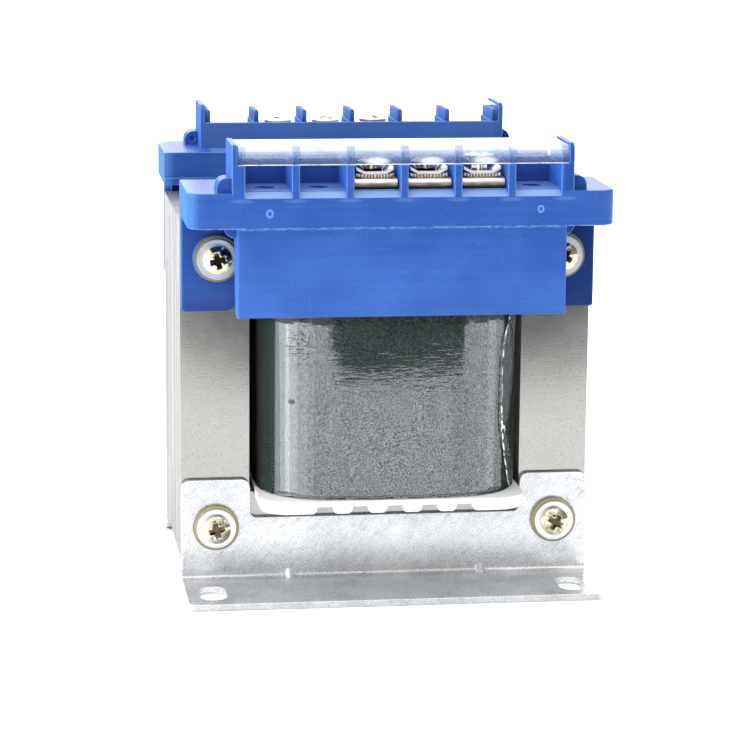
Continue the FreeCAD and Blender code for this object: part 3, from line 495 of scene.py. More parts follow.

# %% [markdown]
# ## Plated metals
# Bolts and nuts have yellow zinc, which shifts between straw and olive, washers bright zinc, and terminals
# nickel, which is nearly a mirror. Such small bright parts get painted shade in their recesses and corners,
# so each finish darkens those, by their place or by the shape round them.

# %% Plated metals
def plated(name, low, high, roughness):
    """Thin plating over a smooth part."""
    f = Finish(name, Metallic=1.0)
    fine = f.grain(0.15 * MM, detail=2)
    f.feed("Base Color", f.blend(f.grain(1.2 * MM).ramp(0.3, 0.7), low, high))
    f.feed("Roughness", roughness + fine * 0.08)
    f.relief(fine, 0.004 * MM, 0.15 * MM)


def bright_screw():
    """Terminal screws: bright, with painted shade in the corners. The rear ones are paler and more satin."""
    f = Finish("bright_screw", Metallic=1.0)
    cloud = f.grain(1.2 * MM, detail=2)
    fine = f.grain(0.15 * MM, detail=2)
    colour = f.blend(cloud.ramp(0.3, 0.7), (0.62, 0.58, 0.52), (0.82, 0.79, 0.75))
    # Corners of the front screws are painted dark brown: painted shade.
    grime_and_shade = f.corners(0.6 * MM, 0.35, 0.85) * f.y.ramp(0, MM, 0.7, 0)
    f.feed("Base Color", f.blend(grime_and_shade, colour, (0.055, 0.035, 0.015)))
    f.feed("Roughness", 0.09 + fine * 0.08 + f.y.ramp(0, MM, 0, 0.25))
    f.relief(fine, 0.004 * MM, 0.15 * MM)


WASHER_RIM = ((4.15 * MM, 4.22 * MM), (4.32 * MM, 4.38 * MM))
TURNED_RING = 0.32 * MM
RECESS_REACH = 2.0 * MM
RECESS_DEPTH = 0.65 * MM
LOW_HEAD_TOP = -31.9 * MM
HIGH_HEAD_TOP = -35.74 * MM
HIGH_BOLTS = 46 * MM
SHADE_BROWN = (0.035, 0.022, 0.008)


def yellow_zinc():
    """Straw coloured plating on a turned dome, with painted shade in the recess of the drive and in the
    corners.
    """
    f = Finish("yellow_zinc", Metallic=1.0)
    cloud = f.grain(0.9 * MM, detail=2)
    fine = f.grain(0.15 * MM, detail=2)
    head_top = f.z.ramp(HIGH_BOLTS - MM, HIGH_BOLTS + MM, LOW_HEAD_TOP, HIGH_HEAD_TOP, False)
    colour = f.blend(cloud.ramp(0.3, 0.7), (0.46, 0.41, 0.24), (0.82, 0.78, 0.62))
    # The recess of the drive and the corners are painted dark brown: painted shade.
    below = (f.y - head_top).ramp(RECESS_DEPTH * 0.7, RECESS_DEPTH) * f.y.ramp(-MM, 0, 1, 0)
    recess = below * f.from_bolt().ramp(RECESS_REACH * 0.8, RECESS_REACH, 1, 0)
    brown_shade = recess.math("MAXIMUM", f.corners(0.9 * MM, 0.35, 0.8)) * cloud.ramp(0.2, 0.6, 0.7, 0.95)
    f.feed("Base Color", f.blend(brown_shade, colour, SHADE_BROWN))
    f.feed("Roughness", 0.07 + fine * 0.06)
    f.relief(fine, 0.003 * MM, 0.15 * MM)


def bright_zinc():
    """Washers: nearly white, with turned rings and a thin line of shade at the rim."""
    f = Finish("bright_zinc", Metallic=1.0)
    cloud = f.grain(1.5 * MM, detail=2)
    radius = f.from_bolt()
    rings = (radius * (math.tau / TURNED_RING)).math("SINE").ramp(-1, 1)
    rim = radius.ramp(*WASHER_RIM[0]) * radius.ramp(*WASHER_RIM[1], 1, 0)
    colour = f.blend(cloud, (0.66, 0.68, 0.70), (0.80, 0.81, 0.82))
    f.feed("Base Color", f.blend(rim * 0.4, colour, (0.34, 0.38, 0.45)))
    f.feed("Roughness", 0.26 + rings * 0.06)
    f.relief(rings, 0.004 * MM, 0.15 * MM)


FOLD_FOOT = 95.9 * MM
CLAMP_FOOT = 98.15 * MM
CLAMP_TOP = CLAMP_FOOT + 0.8 * MM
KNURL = 0.7 * MM


def satin_nickel():
    """Terminal plates: satin, warm, and painted dark brown low on the fold, as painted shade."""
    f = Finish("satin_nickel", Metallic=0.8)
    cloud = f.grain((2.5 * MM, 1.2 * MM, 0.6 * MM), detail=2)
    tone = f.blend(cloud.ramp(0.3, 0.7), (0.80, 0.74, 0.68), (0.96, 0.92, 0.88))
    # Low on the fold the plate is painted dark brown: painted shade.
    brown_shade = (f.z + (cloud - 0.5) * (0.5 * MM)).ramp(FOLD_FOOT + 0.6 * MM, FOLD_FOOT + 1.9 * MM, 0.97, 0)
    line = f.z.ramp(CLAMP_FOOT - 0.22 * MM, CLAMP_FOOT - 0.08 * MM)
    colour = f.blend(brown_shade, tone, (0.060, 0.038, 0.022))
    f.feed("Base Color", f.blend(line * 0.75, colour, (0.22, 0.05, 0.02)))
    f.feed("Roughness", 0.30 + cloud * 0.10)
    f.relief(cloud, 0.004 * MM, 0.15 * MM)


def clamp_nickel():
    """Clamp washers: mirror bright, with a row of teeth pressed into the front edge of the lower one."""
    f = Finish("clamp_nickel")
    fine = f.grain(0.18 * MM, detail=2)
    uneven = f.grain(0.9 * MM, detail=1)
    teeth = (f.x * (math.tau / KNURL) + uneven * 5).math("SINE").ramp(-0.4, 0.4)
    lower = f.z.ramp(CLAMP_TOP - 0.05 * MM, CLAMP_TOP + 0.05 * MM, 1, 0)
    face = f.outward().ramp(0.6, 0.9)
    colour = f.blend(fine, (0.74, 0.70, 0.66), (0.90, 0.87, 0.84))
    colour = f.blend(teeth * lower * face * 0.8, colour, (0.05, 0.045, 0.04))
    # Corners are painted dark: painted shade.
    f.feed("Base Color", f.blend(f.corners(0.5 * MM, 0.2, 0.5) * 0.6, colour, (0.05, 0.04, 0.03)))
    f.feed("Metallic", 1 - face * 0.5)
    f.feed("Roughness", 0.10 + fine * 0.06 + face * 0.25)
    f.relief(teeth * lower * face, 0.08 * MM, 0.12 * MM)


yellow_zinc()
bright_zinc()
satin_nickel()
clamp_nickel()
bright_screw()
plated("tinned", (0.62, 0.62, 0.60), (0.82, 0.82, 0.80), 0.3)
plated("copper_wire", (0.62, 0.26, 0.13), (0.80, 0.42, 0.24), 0.22)
print("finishes", list(finishes))

# %% [markdown]
# ## Blue moulding
# It is glossy, with flow marks, a few fine scuffs and the round marks of ejector pins. Its ears are painted a
# deeper blue as painted shade, most of all near their foot and on the right. Light from the left makes the
# faces that look there pale, so they get a painted paler colour and a roughness of their own. There is more
# painted shade high on the hood and on the right end, and painted light at the left corner, on the sills, on
# the rear back wall and as a painted highlight with wear along the edges.

# %% Blue moulding
# Where soft changes start and end
HOOD_SHADE = (68 * MM, 92 * MM)
EAR_FACE = (31 * MM, 32 * MM)
BACK_WALL = (36 * MM, 37.5 * MM)
RECESS_SIDES = ((37.6 * MM, 37.9 * MM), (38.3 * MM, 38.6 * MM))
SILL_DEPTH = (48 * MM, 51 * MM)
FLANGE_LEFT = (-47.9 * MM, -45 * MM)
# Places and sizes on the moulding
EJECTOR_MARKS = [((-29.97 * MM, 90.9 * MM), (0.85 * MM, 1.0 * MM)),
                 ((30.83 * MM, 91.4 * MM), (0.75 * MM, 0.9 * MM))]
EAR_FOOT = 65.4 * MM
EAR_TOP = 87 * MM
END_WALL = 36 * MM
SILL_FOOT = 93.8 * MM
FLANGE_FRONT = -50 * MM
FLANGE_FOOT = 87.4 * MM
STRIP_FOOT = 95.4 * MM
BARRIERS = 7
BARRIER_PITCH = 12.1 * MM
BARRIER_FOOT = 93.7 * MM
BARRIER_GLINT = (2.4 * MM, 0.45 * MM)
TOOL_MARK = 0.75 * MM


def blue_areas(f, tone):
    """Painted shade on the ears and the right end, painted light at the left corner, on the sills and on the
    rear back wall.
    """
    depth = f.y.math("ABSOLUTE")
    on_ear = depth.ramp(*EAR_FACE, 1, 0)
    on_strip = f.z.ramp(STRIP_FOOT, STRIP_FOOT + 0.2 * MM)
    colour = f.blend(tone, (0.024, 0.074, 0.30), (0.052, 0.137, 0.455))
    # Painted shade on the ears, deeper on the right.
    ear_shade = on_ear * f.z.ramp(EAR_TOP, EAR_TOP + MM, 1, 0) * f.x.ramp(-MM, MM, 0.34, 0.95)
    colour = f.blend(ear_shade, colour, (0.006, 0.028, 0.14))
    # Painted shade on the right end walls.
    right_end_shade = f.x.ramp(END_WALL, END_WALL + 0.3 * MM) * on_strip
    colour = f.blend(right_end_shade * 0.85, colour, (0.012, 0.050, 0.22))
    # Painted highlight at the flange's left corner.
    left_corner_highlight = f.x.ramp(*FLANGE_LEFT, 0.35, 0) * f.z.ramp(FLANGE_FOOT - MM, FLANGE_FOOT)
    colour = f.blend(left_corner_highlight, colour, (0.16, 0.32, 0.74))
    # Painted light on the rear back wall.
    back_wall_light = depth.ramp(*BACK_WALL, 1, 0) * on_strip * f.y.ramp(0, MM)
    colour = f.blend(back_wall_light * 0.45, colour, (0.10, 0.19, 0.36))
    # Painted shade low on the ears.
    ear_foot_shade = on_ear * f.z.ramp(EAR_FOOT, EAR_FOOT + 6 * MM, 1, 0)
    colour = f.blend(ear_foot_shade * 0.6, colour, (0.022, 0.030, 0.15))
    ribbed = (f.z * (math.tau / TOOL_MARK)).math("SINE").ramp(-1, 1)
    recess = depth.ramp(*RECESS_SIDES[0]) * depth.ramp(*RECESS_SIDES[1], 1, 0)
    recess = recess * f.z.ramp(STRIP_FOOT, STRIP_FOOT + 0.1 * MM)
    colour = f.blend(ribbed * recess * 0.25, colour, (0.014, 0.052, 0.21))
    # Painted light on the upward faces of the sills.
    lit_sill = f.facing("Z").ramp(0.3, 0.6) * f.z.ramp(SILL_FOOT, SILL_FOOT + 0.1 * MM)
    lit_sill = lit_sill * f.z.ramp(STRIP_FOOT + MM, STRIP_FOOT + 2 * MM, 1, 0)
    lit_sill = lit_sill * f.x.math("ABSOLUTE").ramp(END_WALL, END_WALL + 0.5 * MM, 1, 0)
    return f.blend(lit_sill * depth.ramp(*SILL_DEPTH, 0.25, 0.75), colour, (0.23, 0.34, 0.60))


def blue_marks(f, scuffs, ragged):
    """What lightens the front: nicks, scuffs, ejector rings, painted glints under the barriers, and a pale
    line at the flange foot, part moulding seam and part painted highlight.
    """
    front = f.y.ramp(FLANGE_FRONT - MM, FLANGE_FRONT, 1, 0)
    nicks = f.grain(0.26 * MM, detail=0, seed=0.7).ramp(0.82, 0.84)
    scuffed = f.grain(12 * MM, detail=1, seed=0.35).ramp(0.52, 0.66)
    pale = nicks * 0.5 + scuffs * scuffed * 0.3
    for place, size in EJECTOR_MARKS:
        ring = f.spot(place, size) - f.spot(place, (size[0] * 0.5, size[1] * 0.55))
        pale = pale + ring * front * 0.5
    for k in range(BARRIERS):
        glint = f.spot(((k - BARRIERS // 2) * BARRIER_PITCH, BARRIER_FOOT), BARRIER_GLINT, 0.9)
        pale = pale + glint * front * 0.14
    # A pale line at the flange foot: part moulding seam, part painted highlight.
    flash_and_highlight = (f.z - FLANGE_FOOT).math("ABSOLUTE").ramp(0.1 * MM, 0.45 * MM, 1, 0) * ragged.ramp(0.38, 0.6)
    return pale + flash_and_highlight * front * 0.5


def blue_moulding():
    f = Finish("blue_moulding", Specular_IOR_Level=0.16, Specular_Tint=(0.45, 0.70, 1.0))
    cloud = f.grain(16 * MM, detail=2)
    flow = f.grain((30 * MM, 6 * MM, 1.2 * MM), detail=3, seed=0.5)
    scuffs = f.grain((3.5 * MM, 0.2 * MM, 0.1 * MM), detail=1, turn=0.35, seed=0.8).ramp(0.74, 0.80)
    ragged = f.grain((1.4 * MM, MM, 0.3 * MM), detail=3, seed=0.15)
    left = f.facing("X").ramp(-0.9, -0.6, 1, 0)
    tone = cloud.ramp(0.3, 0.7, 0.3, 0.7) + flow.ramp(0.35, 0.65, -0.07, 0.07)
    tone = tone - f.z.ramp(*HOOD_SHADE, 0, 0.45)
    # Faces that look to the left are painted paler: painted light.
    colour = f.blend(left * 0.7, blue_areas(f, tone), (0.035, 0.16, 0.62))
    # Outward edges: wear and a painted highlight.
    worn_and_lit_edges = f.edges(0.32 * MM) * ragged.ramp(0.25, 0.6, 0.35, 0.8)
    colour = f.blend(worn_and_lit_edges, colour, (0.20, 0.42, 0.86))
    f.feed("Base Color", f.blend(blue_marks(f, scuffs, ragged), colour, (0.22, 0.40, 0.78)))
    f.feed("Roughness", 0.27 + scuffs * 0.1 + cloud * 0.06 + left * 0.55)
    f.relief(flow, 0.006 * MM, 0.3 * MM)


blue_moulding()
print("finishes", list(finishes))

# %% [markdown]
# ## Clear covers
# The covers are clear plastic, milky on the outer lip and smudged along its lower edge. The lip also carries
# painted light: a painted reflection that whitens its upper part, painted shade low down, a painted highlight
# along its lower edge and pale painted spots over the screws behind it. Thin walls need no refraction: alpha
# lets the view through, and the angle of view sets how much they mirror.

# %% Clear covers
LIP_FOOT = 101.6 * MM
LIP_TOP = 105.6 * MM
LIP_FACE = 52.5 * MM
FRONT_SCREWS = (-0.5, 0.5, 1.5)
SCREW_GLOW = (2.6 * MM, 0.8 * MM)


def clear_cover():
    f = Finish("clear_cover")
    smudge = f.grain((0.55 * MM, 0.9 * MM, 0.4 * MM), detail=4, rough=0.7)
    wipe = f.grain((7 * MM, 3 * MM, 1.6 * MM), detail=2, seed=0.2)
    height = f.z.ramp(LIP_FOOT, LIP_TOP)
    low_down = f.z.ramp(LIP_FOOT + 0.3 * MM, LIP_FOOT + 2.1 * MM, 1, 0)
    grime_and_shade = smudge.ramp(0.50, 0.62) * low_down * wipe.ramp(0.38, 0.6)
    edge = f.z.ramp(LIP_FOOT + 0.05 * MM, LIP_FOOT + 0.22 * MM, 1, 0)
    lip = f.y.math("ABSOLUTE").ramp(LIP_FACE - 1.8 * MM, LIP_FACE - 0.8 * MM) * f.outward().ramp(0.1, 0.5)
    # The lip is painted whiter towards its top, a painted reflection, and along its lower edge, a painted
    # highlight.
    milk_and_sheen = height.ramp(0, 0.5, 0.47, 0.33, False) + height.ramp(0.8, 1.0, 0, 0.4)
    milk_and_sheen = milk_and_sheen * wipe.ramp(0.25, 0.6, 0.8, 1.15) + edge * 0.5 + grime_and_shade * 0.25
    from_rib = ((f.x / BARRIER_PITCH + 0.5).math("FRACT") - 0.5).math("ABSOLUTE") * BARRIER_PITCH
    milk_and_sheen = milk_and_sheen * from_rib.ramp(0.7 * MM, 1.1 * MM, 0.45, 1)
    # Pale spots over the screws behind the lip: painted highlight.
    painted_screw_glow = 0
    for k in FRONT_SCREWS:
        glow = f.spot((k * BARRIER_PITCH, LIP_FOOT + 0.8 * MM), SCREW_GLOW, 0.9)
        painted_screw_glow = painted_screw_glow + glow * f.y.ramp(0, MM, 1, 0)
    milk_and_sheen = (milk_and_sheen + painted_screw_glow * 0.15) * lip + 0.02
    outside = 1 - f.node("NewGeometry", output="Backfacing")
    mirror = f.node("Fresnel", inputs={"IOR": 1.5}) * outside * 1.6
    # Dark blue low on the lip, painted shade, up to a whitish painted reflection at its top.
    tint = f.blend((height + (smudge - 0.5) * 0.8).ramp(0.05, 0.95), (0.07, 0.11, 0.23), (0.60, 0.67, 0.80))
    tint = f.blend(edge, f.blend(painted_screw_glow * 0.6, tint, (0.92, 0.93, 0.93)), (0.92, 0.95, 0.98))
    f.feed("Base Color", f.blend(grime_and_shade * 0.7, tint, (0.05, 0.07, 0.15)))
    f.feed("Metallic", (1 - milk_and_sheen) * mirror.ramp(0.04, 0.2))
    f.feed("Alpha", milk_and_sheen + mirror)
    f.feed("Roughness", 0.08 + smudge * 0.12)
    f.feed("Normal", f.rounded(0.2 * MM))


clear_cover()
print("finishes", list(finishes))

# %% [markdown]
# ## Nylon, paper, film and insulating plastic
# The bobbin is white nylon. The coil is wrapped in dark green fibre paper, with a glossy clear film over it.
# Nearly all of the light goes through the film, so it is a mirror with a low alpha, in a fine mottle: highest
# where it lies flat on the paper, and low round the corners. Gathered film is nearly opaque, dark with
# painted glints. Round the corners towards the core the paper is painted darker, as painted shade.

# %% Nylon, paper, film and insulating plastic
def white_nylon():
    f = Finish("white_nylon")
    cloud = f.grain(5 * MM)
    f.feed("Base Color", f.blend(cloud, (0.79, 0.785, 0.775), (0.86, 0.86, 0.855)))
    f.feed("Roughness", 0.38 + cloud * 0.1)
    f.feed("Normal", f.rounded(0.5 * MM))


COIL_FOOT = 23.15 * MM
# Where the flat front of the coil ends, left and right
FLAT_SIDES = (26.7 * MM, 25.3 * MM)
FILM_END = 63.9 * MM
# Where soft changes start and end
FILM_RIGHT = (11 * MM, 15 * MM)
FILM_LEFT = (-24 * MM, -16 * MM)
INSULATOR_RIM = (5.0 * MM, 5.3 * MM)
# Places and sizes of marks
FILM_COLOUR = (0.90, 0.95, 0.99)
TICKS_PLACE = (-22 * MM, 58.5 * MM)
TICKS_SIZE = (2.6 * MM, 4.5 * MM)
DENT_PLACE = (-23.6 * MM, 45.7 * MM)
DENT_SIZE = (0.8 * MM, 0.5 * MM)


def round_corners(f):
    """How far past the flat front of the coil a place lies, to the left or to the right."""
    return f.x.math("ABSOLUTE") - f.x.ramp(-MM, MM, *FLAT_SIDES, False)


def fibre_paper():
    f = Finish("green_fibre_paper", Specular_IOR_Level=0.15, Roughness=0.75)
    fibre = f.grain(0.5 * MM, detail=4, rough=0.7)
    speck = f.grain(0.22 * MM, detail=1, seed=0.4)
    cloud = f.grain(5 * MM, detail=3)
    tone = fibre.ramp(0.42, 0.62, 0, 0.42) + cloud.ramp(0.35, 0.65, 0, 0.08)
    tone = tone + speck.ramp(0.46, 0.62, 0, 0.36)
    colour = f.blend(tone, (0.002, 0.008, 0.006), (0.060, 0.076, 0.072))
    round_side = round_corners(f)
    # Round the corners towards the core the paper is painted darker, then nearly black: painted shade.
    colour = f.blend(round_side.ramp(-0.3 * MM, MM, 0, 0.95), colour, (0.002, 0.012, 0.008))
    colour = f.blend(round_side.ramp(2.2 * MM, 3.2 * MM), colour, (0.001, 0.002, 0.002))
    tape_edge = (f.z + (cloud - 0.5) * (1.6 * MM)).ramp(COIL_FOOT + 0.15 * MM, COIL_FOOT + 0.3 * MM, 0.8, 0)
    f.feed("Base Color", f.blend(tape_edge * fibre.ramp(0.4, 0.5), colour, (0.42, 0.35, 0.32)))
    f.relief(fibre, 0.02 * MM)


def clear_film():
    f = Finish("clear_film", Metallic=1.0, Base_Color=FILM_COLOUR)
    ridges = f.grain((2.6 * MM, 2.6 * MM, 0.5 * MM), detail=1, rough=0.6)
    waves = f.grain((9 * MM, 9 * MM, 2.2 * MM), detail=2, seed=0.6)
    wetting = f.grain((0.32 * MM, 0.32 * MM, 0.26 * MM), detail=2, rough=0.6, seed=0.3)
    round_side = round_corners(f)
    on_front = round_side.ramp(-2.1 * MM, -1.5 * MM, 1, 0.62) * round_side.ramp(0, 0.6 * MM, 1, 0.08)
    on_front = on_front * f.x.ramp(*FILM_RIGHT, 1, 0.85) * (1 - f.spot(DENT_PLACE, DENT_SIZE) * 0.7)
    ragged = f.grain((3.2 * MM, 3.2 * MM, 0.7 * MM), detail=4, rough=0.7, seed=0.8)
    upper_end = (f.z + (ragged - 0.5) * (5 * MM)).ramp(FILM_END - 0.2 * MM, FILM_END + 0.2 * MM, 1, 0.12)
    ticks = f.grain((2.2 * MM, MM, 0.30 * MM), detail=1, seed=0.45).ramp(0.56, 0.62)
    ticks = ticks * f.spot(TICKS_PLACE, TICKS_SIZE, 0.6)
    mirror = f.node("Fresnel", inputs={"IOR": 1.55})
    share = (mirror * 1.55).math("MINIMUM", 0.14) * (1 - ticks * 0.8)
    mottle = 1 + wetting.ramp(0.38, 0.62, -0.68, 0.68, False) * f.x.ramp(*FILM_LEFT, 0.4, 1)
    f.feed("Alpha", share * mottle * on_front * upper_end)
    f.feed("Roughness", 0.03 + wetting * 0.05)
    f.relief(ridges + waves * 1.5, 0.011 * MM)


def loose_film():
    """The same film off the paper, where it only shows by its gloss."""
    f = Finish("loose_film", Metallic=1.0, Base_Color=FILM_COLOUR, Roughness=0.06)
    crease = f.grain((1.2 * MM, 1.2 * MM, 5 * MM), detail=2)
    f.feed("Alpha", (f.node("Fresnel", inputs={"IOR": 1.6}) * 0.1).math("MINIMUM", 0.03) + 0.005)
    f.relief(crease, 0.25 * MM)


def film_fold():
    """Film gathered into a roll or a knot, dark with painted glints."""
    f = Finish("film_fold", Roughness=0.12)
    crease = f.grain((0.6 * MM, 0.6 * MM, 1.6 * MM), detail=3)
    # Bright specks on dark: painted glints.
    f.feed("Base Color", f.blend(crease.ramp(0.42, 0.60), (0.07, 0.08, 0.085), (0.92, 0.95, 0.96)))
    f.feed("Alpha", crease.ramp(0.35, 0.65, 0.7, 1.0))
    f.relief(crease, 0.05 * MM)


def insulating_plastic():
    """Amber over the steel foot, and olive where it lies on the blue ear and lets it through."""
    f = Finish("insulating_plastic", Roughness=0.22)
    cloud = f.grain(1.5 * MM)
    amber = f.blend(cloud, (0.24, 0.20, 0.10), (0.44, 0.38, 0.22))
    olive = f.blend(cloud, (0.13, 0.15, 0.12), (0.26, 0.28, 0.23))
    colour = f.blend(f.z.ramp(HIGH_BOLTS, HIGH_BOLTS + MM), amber, olive)
    rim = f.from_bolt().ramp(*INSULATOR_RIM)
    f.feed("Base Color", f.blend(rim * 0.6, colour, (0.10, 0.085, 0.055)))
    f.feed("Normal", f.rounded(0.3 * MM))


white_nylon()
fibre_paper()
clear_film()
loose_film()
film_fold()
insulating_plastic()
print("finishes", list(finishes))

# %% [markdown]
# ## Core sheets
# The core is a pack of half-millimetre sheets, and no two lie quite flush. The model holds them as packets.
# Each packet is copied eight times, thinned to one sheet and nudged a few hundredths of a millimetre,
# which gives real edges to look at from the sides and the top.

# %% Core sheets
PACKETS = 13
SHEETS_PER_PACKET = 8
SHEET_FILL = 0.985
FRONT_FACING = 0.7
NUDGE_ACROSS = 0.05 * MM
NUDGE_UP = 0.03 * MM
MERGE = 0.002 * MM


def mesh_of(node):
    """A working copy of a node's mesh."""
    shape = bmesh.new()
    shape.from_mesh(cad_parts[node].data)
    return shape


def packets_of(shape, front, depth):
    """The faces of each packet, from front to rear. A face belongs to the packet behind its surface."""
    packets = [[] for _ in range(PACKETS)]
    for face in shape.faces:
        inside = face.calc_center_median().y - face.normal.y * depth / 2
        packets[int((inside - front) / depth)].append(face)
    return packets


def finished(shape, name, finish, node_names):
    """Turn a mesh into a piece that stands for the named nodes."""
    mesh = bpy.data.meshes.new(name)
    shape.to_mesh(mesh)
    shape.free()
    piece = bpy.data.objects.new(name, mesh)
    mesh.materials.append(finishes[finish])
    bpy.context.collection.objects.link(piece)
    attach(piece, "root")
    if node_names:
        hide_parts(*node_names)
    return piece


def loose_sheets(node, name):
    shape = mesh_of(node)
    front = min(v.co.y for v in shape.verts)
    depth = (max(v.co.y for v in shape.verts) - front) / PACKETS
    packed = list(shape.verts)
    for number, faces in enumerate(packets_of(shape, front, depth)):
        edges = dict.fromkeys(edge for face in faces for edge in face.edges)
        verts = dict.fromkeys(vert for face in faces for vert in face.verts)
        geometry = faces + list(edges) + list(verts)
        origin = Matrix.Translation((0, -front - number * depth, 0))
        for k in range(SHEETS_PER_PACKET):
            copied = bmesh.ops.duplicate(shape, geom=geometry)["geom"]
            verts = [g for g in copied if isinstance(g, bmesh.types.BMVert)]
            bmesh.ops.scale(shape, vec=(1, SHEET_FILL / SHEETS_PER_PACKET, 1), space=origin, verts=verts)
            across = rng.uniform(-NUDGE_ACROSS, NUDGE_ACROSS)
            up = rng.uniform(-NUDGE_UP, NUDGE_UP)
            bmesh.ops.translate(shape, vec=(across, k * depth / SHEETS_PER_PACKET, up), verts=verts)
    bmesh.ops.delete(shape, geom=packed, context="VERTS")
    bmesh.ops.remove_doubles(shape, verts=shape.verts, dist=MERGE)
    print(name, "triangles", sum(len(f.verts) - 2 for f in shape.faces))
    return finished(shape, name, "satin_steel", [node])


e_sheets = loose_sheets("e_laminations", "e_sheets")
i_sheets = loose_sheets("i_laminations", "i_sheets")
for piece in (e_sheets, i_sheets):
    piece.data.materials.append(finishes["sheet_edges"])
    for face in piece.data.polygons:
        face.material_index = 0 if abs(face.normal.y) > FRONT_FACING else 1

# %% [markdown]
# ## Film wrap
# A clear film is pulled tight round the paper. It lies flat between the places where it turns, so its corners
# are a few facets and not a smooth curve, and each facet mirrors another part of the studio.
# The outline is made of lines that touch the paper from outside, one for each direction in a short list.
# Their crossings are the first ring of vertices, which is extruded upwards, divided finely and crinkled a
# little. The paper's own outline is a shallow bow in front and behind, between four round corners.

# %% Film wrap
FILM_SHEET = 0.05 * MM
# Degrees from straight ahead, and how many millimetres the facet stands off the paper
FRONT_FACETS = {-90: 0.06, -84: 0.06, -62: 0.10, -50: 0.08, -41: 0.08, -33: 0.08,
                -25: 0.06, -17: 0.06, 17: 0.06, 38: 0.08, 66: 0.12, 86: 0.08}
BOW_FACETS = [turn / 4 for turn in range(-20, 21)] + [-14, -12, -10, -8, -6.5, 6.5, 8, 10, 12, 14]
BOW_STANDOFF = 0.06
BOW_RADIUS = 170 * MM
BOW_TURN = 5.0
CORNER_CENTRE = Vector((14.15, -25.48)) * MM
CORNER_RADIUS = 16.2 * MM
FILM_BELOW_PAPER = 1.4 * MM
FILM_LEAN = math.radians(0.72)
FILM_CELL = 0.75 * MM
SHORT_FACET = 0.25 * MM
SWELL_SIZE = 7 * MM
SWELL_HEIGHT = 0.03 * MM
PLEAT_SIZE = Vector((5.0, 5.0, 1.3)) * MM
PLEAT_HEIGHT = 0.006 * MM
EDGE_WAVE = 0.8 * MM
EDGE_ZONE = 2.5 * MM
WAVE_SIZE = 3.5 * MM


def facing(degrees):
    """Level direction at an angle from straight ahead, towards the right."""
    return Vector((math.sin(math.radians(degrees)), -math.cos(math.radians(degrees))))


def paper_reach(turn, front):
    """How far the paper reaches in a direction, in front of the coil's middle."""
    angle = math.radians(abs(turn))
    if abs(turn) <= BOW_TURN:
        return BOW_RADIUS - (BOW_RADIUS - front) * math.cos(angle)
    return CORNER_CENTRE.x * math.sin(angle) - CORNER_CENTRE.y * math.cos(angle) + CORNER_RADIUS


def tight_outline(node):
    """Corners of the ring of lines that touch the node from outside, each at its own small distance."""
    front = -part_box(node)[0].y
    facets = FRONT_FACETS | dict.fromkeys(BOW_FACETS, BOW_STANDOFF)
    half = [(turn, paper_reach(turn, front) + standoff * MM) for turn, standoff in sorted(facets.items())]
    lines = [(facing(turn), reach) for turn, reach in half + [(turn + 180, reach) for turn, reach in half]]
    corners = []
    for (first, reach), (second, next_reach) in zip(lines, lines[1:] + lines[:1]):
        corners.append(Matrix((first, second)).inverted() @ Vector((reach, next_reach)))
    return corners


def crinkled(place):
    """How far the film stands off at a place: a slow swell and fine level pleats."""
    swell = noise.noise(place / SWELL_SIZE)
    pleat = noise.noise(Vector((place.x / PLEAT_SIZE.x, place.y / PLEAT_SIZE.y, place.z / PLEAT_SIZE.z)))
    return (1 + swell) * SWELL_HEIGHT / 2 + (1 + pleat) * PLEAT_HEIGHT


def extruded(shape, row):
    """Extrude a row of edges, and give the vertices and the edges of the new row."""
    grown = bmesh.ops.extrude_edge_only(shape, edges=row)["geom"]
    verts = [g for g in grown if isinstance(g, bmesh.types.BMVert)]
    return verts, [g for g in grown if isinstance(g, bmesh.types.BMEdge)]


def film_wrap():
    low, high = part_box("coil_film")
    top = high.z - FILM_BELOW_PAPER
    corners = tight_outline("coil_paper")
    shape = bmesh.new()
    ring = [shape.verts.new((p.x, p.y, low.z)) for p in corners]
    for pair in zip(ring, ring[1:] + ring[:1]):
        shape.edges.new(pair)
    bmesh.ops.remove_doubles(shape, verts=shape.verts, dist=SHORT_FACET)
    for edge in list(shape.edges):
        cuts = int(edge.calc_length() / FILM_CELL)
        if cuts:
            bmesh.ops.subdivide_edges(shape, edges=[edge], cuts=cuts)
    rows = round((top - low.z) / FILM_CELL)
    row = list(shape.edges)
    for k in range(rows):
        verts, row = extruded(shape, row)
        bmesh.ops.translate(shape, vec=(0, 0, (top - low.z) / rows), verts=verts)
    bmesh.ops.recalc_face_normals(shape, faces=shape.faces)
    for vert in shape.verts:
        outward = Vector((vert.normal.x, vert.normal.y, 0)).normalized()
        near_foot = max(0.0, 1 - (vert.co.z - low.z) / EDGE_ZONE)
        near_top = max(0.0, 1 - (top - vert.co.z) / EDGE_ZONE)
        wave = noise.noise(Vector((vert.co.x, vert.co.y, 0)) / WAVE_SIZE) * 0.5 + 0.5
        vert.co += outward * (crinkled(vert.co) + (vert.co.z - low.z) * math.tan(FILM_LEAN))
        vert.co.z += (near_foot * near_foot + near_top * near_top) * wave * EDGE_WAVE
    print("film_wrap quads", len(shape.faces))
    return finished(shape, "film_wrap", "clear_film", ["coil_film"])


def shade_smooth(piece):
    for face in piece.data.polygons:
        face.use_smooth = True


def thicken(piece, side):
    """Give the film its thickness, on the outer side of its faces (1) or on the inner side (-1)."""
    wall = piece.modifiers.new("film", "SOLIDIFY")
    wall.thickness = FILM_SHEET
    wall.offset = side


film = film_wrap()
shade_smooth(film)
thicken(film, 1)

